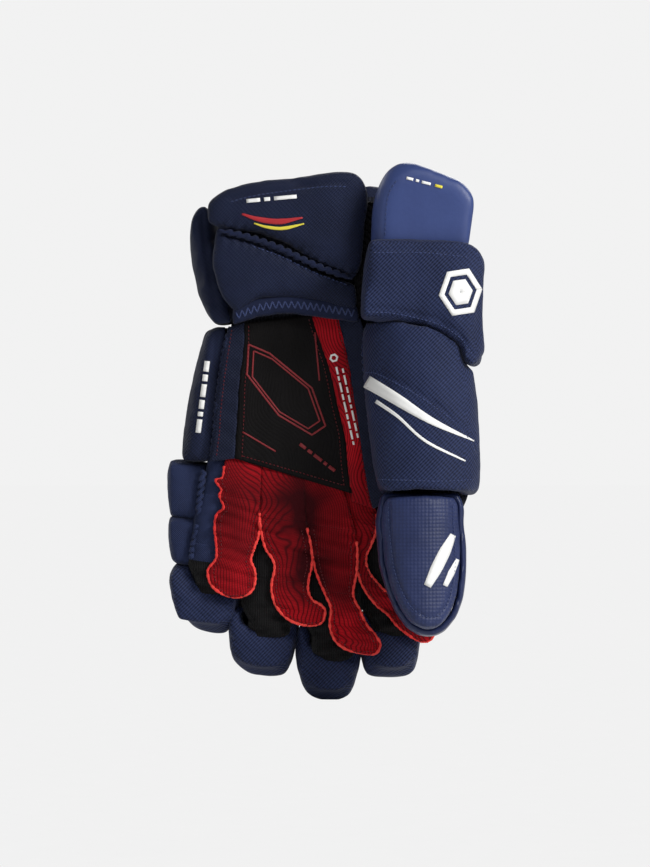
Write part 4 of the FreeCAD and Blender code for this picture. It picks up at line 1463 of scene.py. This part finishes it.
def palm_trim():
    """Nested angular outlines and dash rows pressed into the palm overlay; stitches round its edge."""
    tree = surface_of(overlay)
    shape = Shape()
    loop = [(-54, -92), (-40, -98), (-12, -121), (-3, -146), (-12, -152), (-34, -139), (-55, -112),
            (-54, -92)]
    centre = np.array(loop[:-1]).mean(axis=0)
    for share, half in ((1.0, 0.6), (0.86, 0.5)):
        outline = centre + (np.array(loop) - centre) * share
        print_band(shape, tree, spline_corners(outline, 10), half, 0, lift=0.2, columns=3)
    for a, b in (((-10, -84), (-7, -116)), ((-58, -150), (-36, -163))):
        print_band(shape, tree, np.linspace(a, b, 12), 0.5, 0, lift=0.2, columns=3)
    dashes(shape, tree, (-20, -158), (6, -178), (5, 3.5, 6.5, 2.5, 5), 1.7, 1.1, 0, lift=0.2)
    strip_tree = surface_of(strip)
    print_ring(shape, strip_tree, hexagon((2.6, -101), 3.0, turn=15), 0.55, 1, lift=0.3)
    inner, outer = (5, 3, 6.5, 4, 7, 3.5, 5, 6, 2.5), (3, 6.5, 4, 5, 2.5, 7, 5.5, 3)
    dashes(shape, strip_tree, (4.2, -107), (16.8, -163), inner, 1.3, 0.62, 1, lift=0.3)
    dashes(shape, strip_tree, (8.4, -108), (20.4, -162), outer, 1.5, 0.62, 1, lift=0.3)
    finish_trim(shape, "palm_prints", "hand", (DULL_RED_PRINT, WHITE_PRINT))
    threads = Shape()
    for grid, columns in ((overlay_grid, (2, -3)), (strip_grid, (-2,)), (side_grid, (2,))):
        normal = grid_normals(grid)
        for column in columns:
            stitches = grid[1:-1, column] + normal[1:-1, column] * THREAD_LIFT
            seam_row(threads, stitches, *PALM_STITCH)
    end = overlay_grid[-3, 2:-2] + grid_normals(overlay_grid)[-3, 2:-2] * THREAD_LIFT
    seam_row(threads, end, *PALM_STITCH)
    finish_trim(threads, "palm_stitches", "hand", (MAROON_THREAD,))
    shape = Shape()
    side = surface_of(pads["side_hand_pad"])
    dashes(shape, side, (-81.5, -103), (-87.5, -150), (7, 4.5, 8.5, 6, 3, 9), 2.0, 1.7, 0)
    finish_trim(shape, "side_hand_prints", "hand", (WHITE_PRINT,))


def back_trim():
    """Rows of stitches beside the sewn channels of the backhand and cuff rolls."""
    for node in (*ROLL_MIDDLE_Z, "cuff_back_roll"):
        low, high = box_mm(node)
        shape = Shape()
        for x in CUFF_CHANNELS if node == "cuff_back_roll" else HAND_CHANNELS:
            for side in (-3.4, 3.4):
                ends = [(x + side, high[2] - 5), (x + side - 1, low[2] + 6)]
                seam_on(shape, node, ends, look=FROM_BACK, pitch=3.0)
        for z in (high[2] - 6, low[2] + 6):
            ends = [(low[0] + 14, z), (high[0] - 14, z)]
            seam_on(shape, node, ends, look=FROM_BACK, pitch=3.2, count=70)
        finish_trim(shape, node + "_stitches", body_of_node(node), (NAVY_THREAD,))


CAP_WIDER, USUAL_WIDER = {"ring": 0.10}, 0.045
NOSE = 2.5                # how far a fingertip's padding stands forward at its end


def push_noses():
    """The padding at a fingertip's end stands forward like a lip round the sock."""
    for finger in FINGERS:
        line = FingerLine(finger)
        obj = pads[finger + "_tip_cap"]
        points = coords(obj.data) / MM
        s = line.s_of(points)
        x = (points - line.knuckle) @ line.across
        near_end = np.clip((s - (line.end - 34)) / 22, 0, 1) * np.clip((line.end + 4 - s) / 10, 0, 1)
        in_front = np.clip((-4 - points[:, 1]) / 12, 0, 1)
        points[:, 1] -= NOSE * near_end * in_front * (1 - 0.25 * np.clip(np.abs(x) / 20, 0, 1))
        wide = 1 + CAP_WIDER.get(finger, USUAL_WIDER) * np.clip((s - line.second) / 8, 0, 1)
        points += line.across * (x * (wide - 1))[:, None]
        set_coords(obj.data, points * MM)


def make_pipings():
    """Gathered seams down the little finger, the hand's side and the thumb's inner edge."""
    line = FingerLine("pinky")
    for part, start, end in (("proximal", 3.0, line.first - 3), ("middle", line.first + 3, line.second - 3)):
        s = np.linspace(start, end, 70)
        path = [line.point(v, -15.6 + 0.5 * math.sin(1.3 * v), -17.5 + 0.5 * math.cos(1.3 * v)) for v in s]
        shape = Shape()
        shape.add_tube(path, 2.0, 0, sides=10, ripple=0.3, ripples=6)
        finish_trim(shape, "pinky_piping_" + part, "pinky_" + part, (NAVY_FINE,))
    ruffle("side_piping", SIDE_LEFT, -22.4, 1.7, "hand", 18, NAVY)
    path = spline(THUMB_EDGE, 120)
    path = leaned(np.stack([path[:, 0], np.full(120, THUMB_EDGE_Y), path[:, 1]], axis=1))
    shape = Shape()
    shape.add_tube(path, 1.7, 0, sides=10, ripple=0.3, ripples=19)
    finish_trim(shape, "thumb_edge_piping", "thumb_base", (NAVY_LIT,))


push_noses()
press_pads()
make_pipings()
ruffle("cuff_fold_ruffle", CUFF_FOLD, -42.0, 1.9, "cuff_palm", 16, BINDING)
cuff_palm_trim()
cuff_palm_prints()
cuff_thumb_trim()
thumb_trim()
palm_trim()
back_trim()

# ---------------------------------------------------------------- carried-over CAD pieces

PLATE_COVERS = {"cuff_palm_plate": LINING, "cuff_back_plate": LINING, "back_plate": PLASTIC,
                "thumb_base_splint": PLASTIC, "thumb_tip_splint": PLASTIC}
for node_name, cover in PLATE_COVERS.items():
    NODES[node_name].data.materials.clear()
    NODES[node_name].data.materials.append(cover)

# ---------------------------------------------------------------- floor, light and camera

LOW, HIGH = (np.array(corner) for corner in CAD_BOX)
MIDDLE = (LOW + HIGH) / 2
CAMERA_DISTANCE = 2.9
FRAME_HEIGHT = 0.5766      # metres shown on the picture's long side at the object
SENSOR = 36.0
AIM_X = -0.0033            # the picture's centre lies a little left of the hand opening's middle


def pale_material(name, level, own_light):
    """Diffuse floor that also glows evenly to the camera, like a lit paper sweep."""
    material, tree, shader = start_material(name)
    place = add_node(tree, "TexCoord")
    grain = cloudy(tree, place, 90.0, 2.0)
    colour = mix_colour(tree, grain, (level * 0.985,) * 3 + (1,), (level,) * 3 + (1,))
    shader.inputs["Roughness"].default_value = 0.9
    tree.links.new(colour, shader.inputs["Base Color"])
    glow = add_node(tree, "Emission", {"Color": colour, "Strength": 1.0})
    seen = add_node(tree, "LightPath").outputs["Is Camera Ray"]
    share = times(tree, seen, own_light)
    both = add_node(tree, "MixShader", {0: share, 1: shader.outputs[0], 2: glow.outputs[0]})
    out = [n for n in tree.nodes if n.type == "OUTPUT_MATERIAL"][0]
    tree.links.new(both.outputs[0], out.inputs[0])
    return material


BACKDROP = 0.887           # the pale backdrop's level, on the floor and behind it
WORLD_LIGHT = 0.10
FLOOR_GLOW = 1.0           # share of the floor's look that is its own even light


def make_floor():
    half = 12.0
    z = LOW[2] - 0.0005
    mesh = bpy.data.meshes.new("floor")
    corners = [(-half, -half, z), (half, -half, z), (half, half, z), (-half, half, z)]
    mesh.from_pydata(corners, [], [(0, 1, 2, 3)])
    floor = bpy.data.objects.new("floor", mesh)
    bpy.context.scene.collection.objects.link(floor)
    floor.data.materials.append(pale_material("floor_paper", BACKDROP, FLOOR_GLOW))


def make_world():
    world = bpy.data.worlds.new("studio")
    world.use_nodes = True
    tree = world.node_tree
    tree.nodes.clear()
    seen = add_node(tree, "LightPath").outputs["Is Camera Ray"]
    strength = add_node(tree, "Mix", {0: seen, 2: WORLD_LIGHT, 3: BACKDROP}).outputs[0]
    ground = add_node(tree, "Background", {"Color": (1, 1, 1, 1), "Strength": strength})
    out = add_node(tree, "OutputWorld")
    tree.links.new(ground.outputs[0], out.inputs[0])
    bpy.context.scene.world = world


# Soft studio lights: where each stands, its width and height in metres, and its watts.
LIGHTS = {
    "key_right": ((1.5, -1.3, 0.9), (0.7, 0.9), 46),
    "front_top": ((0.1, -1.6, 1.3), (1.2, 0.6), 10),
    "left_fill": ((-1.6, -1.0, 0.2), (1.0, 1.4), 3.0),
    "back_rim": ((0.6, 1.7, 1.1), (1.4, 1.0), 22),
    "back_left": ((-1.6, 1.2, 0.8), (1.2, 1.2), 14),
}


def area_light(name, place, size, watts):
    light = bpy.data.lights.new(name, "AREA")
    light.shape = "RECTANGLE"
    light.size, light.size_y = size
    light.energy = watts
    obj = bpy.data.objects.new(name, light)
    obj.location = place
    obj.rotation_euler = (Vector(MIDDLE) - Vector(place)).to_track_quat("-Z", "Y").to_euler()
    bpy.context.scene.collection.objects.link(obj)


def make_camera():
    camera = bpy.data.cameras.new("camera")
    camera.sensor_width = SENSOR
    camera.sensor_fit = "AUTO"
    camera.lens = SENSOR * CAMERA_DISTANCE / FRAME_HEIGHT
    camera.clip_end = 50
    obj = bpy.data.objects.new("camera", camera)
    obj.location = (AIM_X, MIDDLE[1] - CAMERA_DISTANCE, MIDDLE[2])
    obj.rotation_euler = (math.pi / 2, 0, 0)
    bpy.context.scene.collection.objects.link(obj)
    bpy.context.scene.camera = obj


make_floor()
make_world()
for light_name, (light_place, light_size, light_watts) in LIGHTS.items():
    area_light(light_name, light_place, light_size, light_watts)
make_camera()
bpy.context.scene.view_settings.view_transform = "Standard"
bpy.context.scene.view_settings.look = "None"
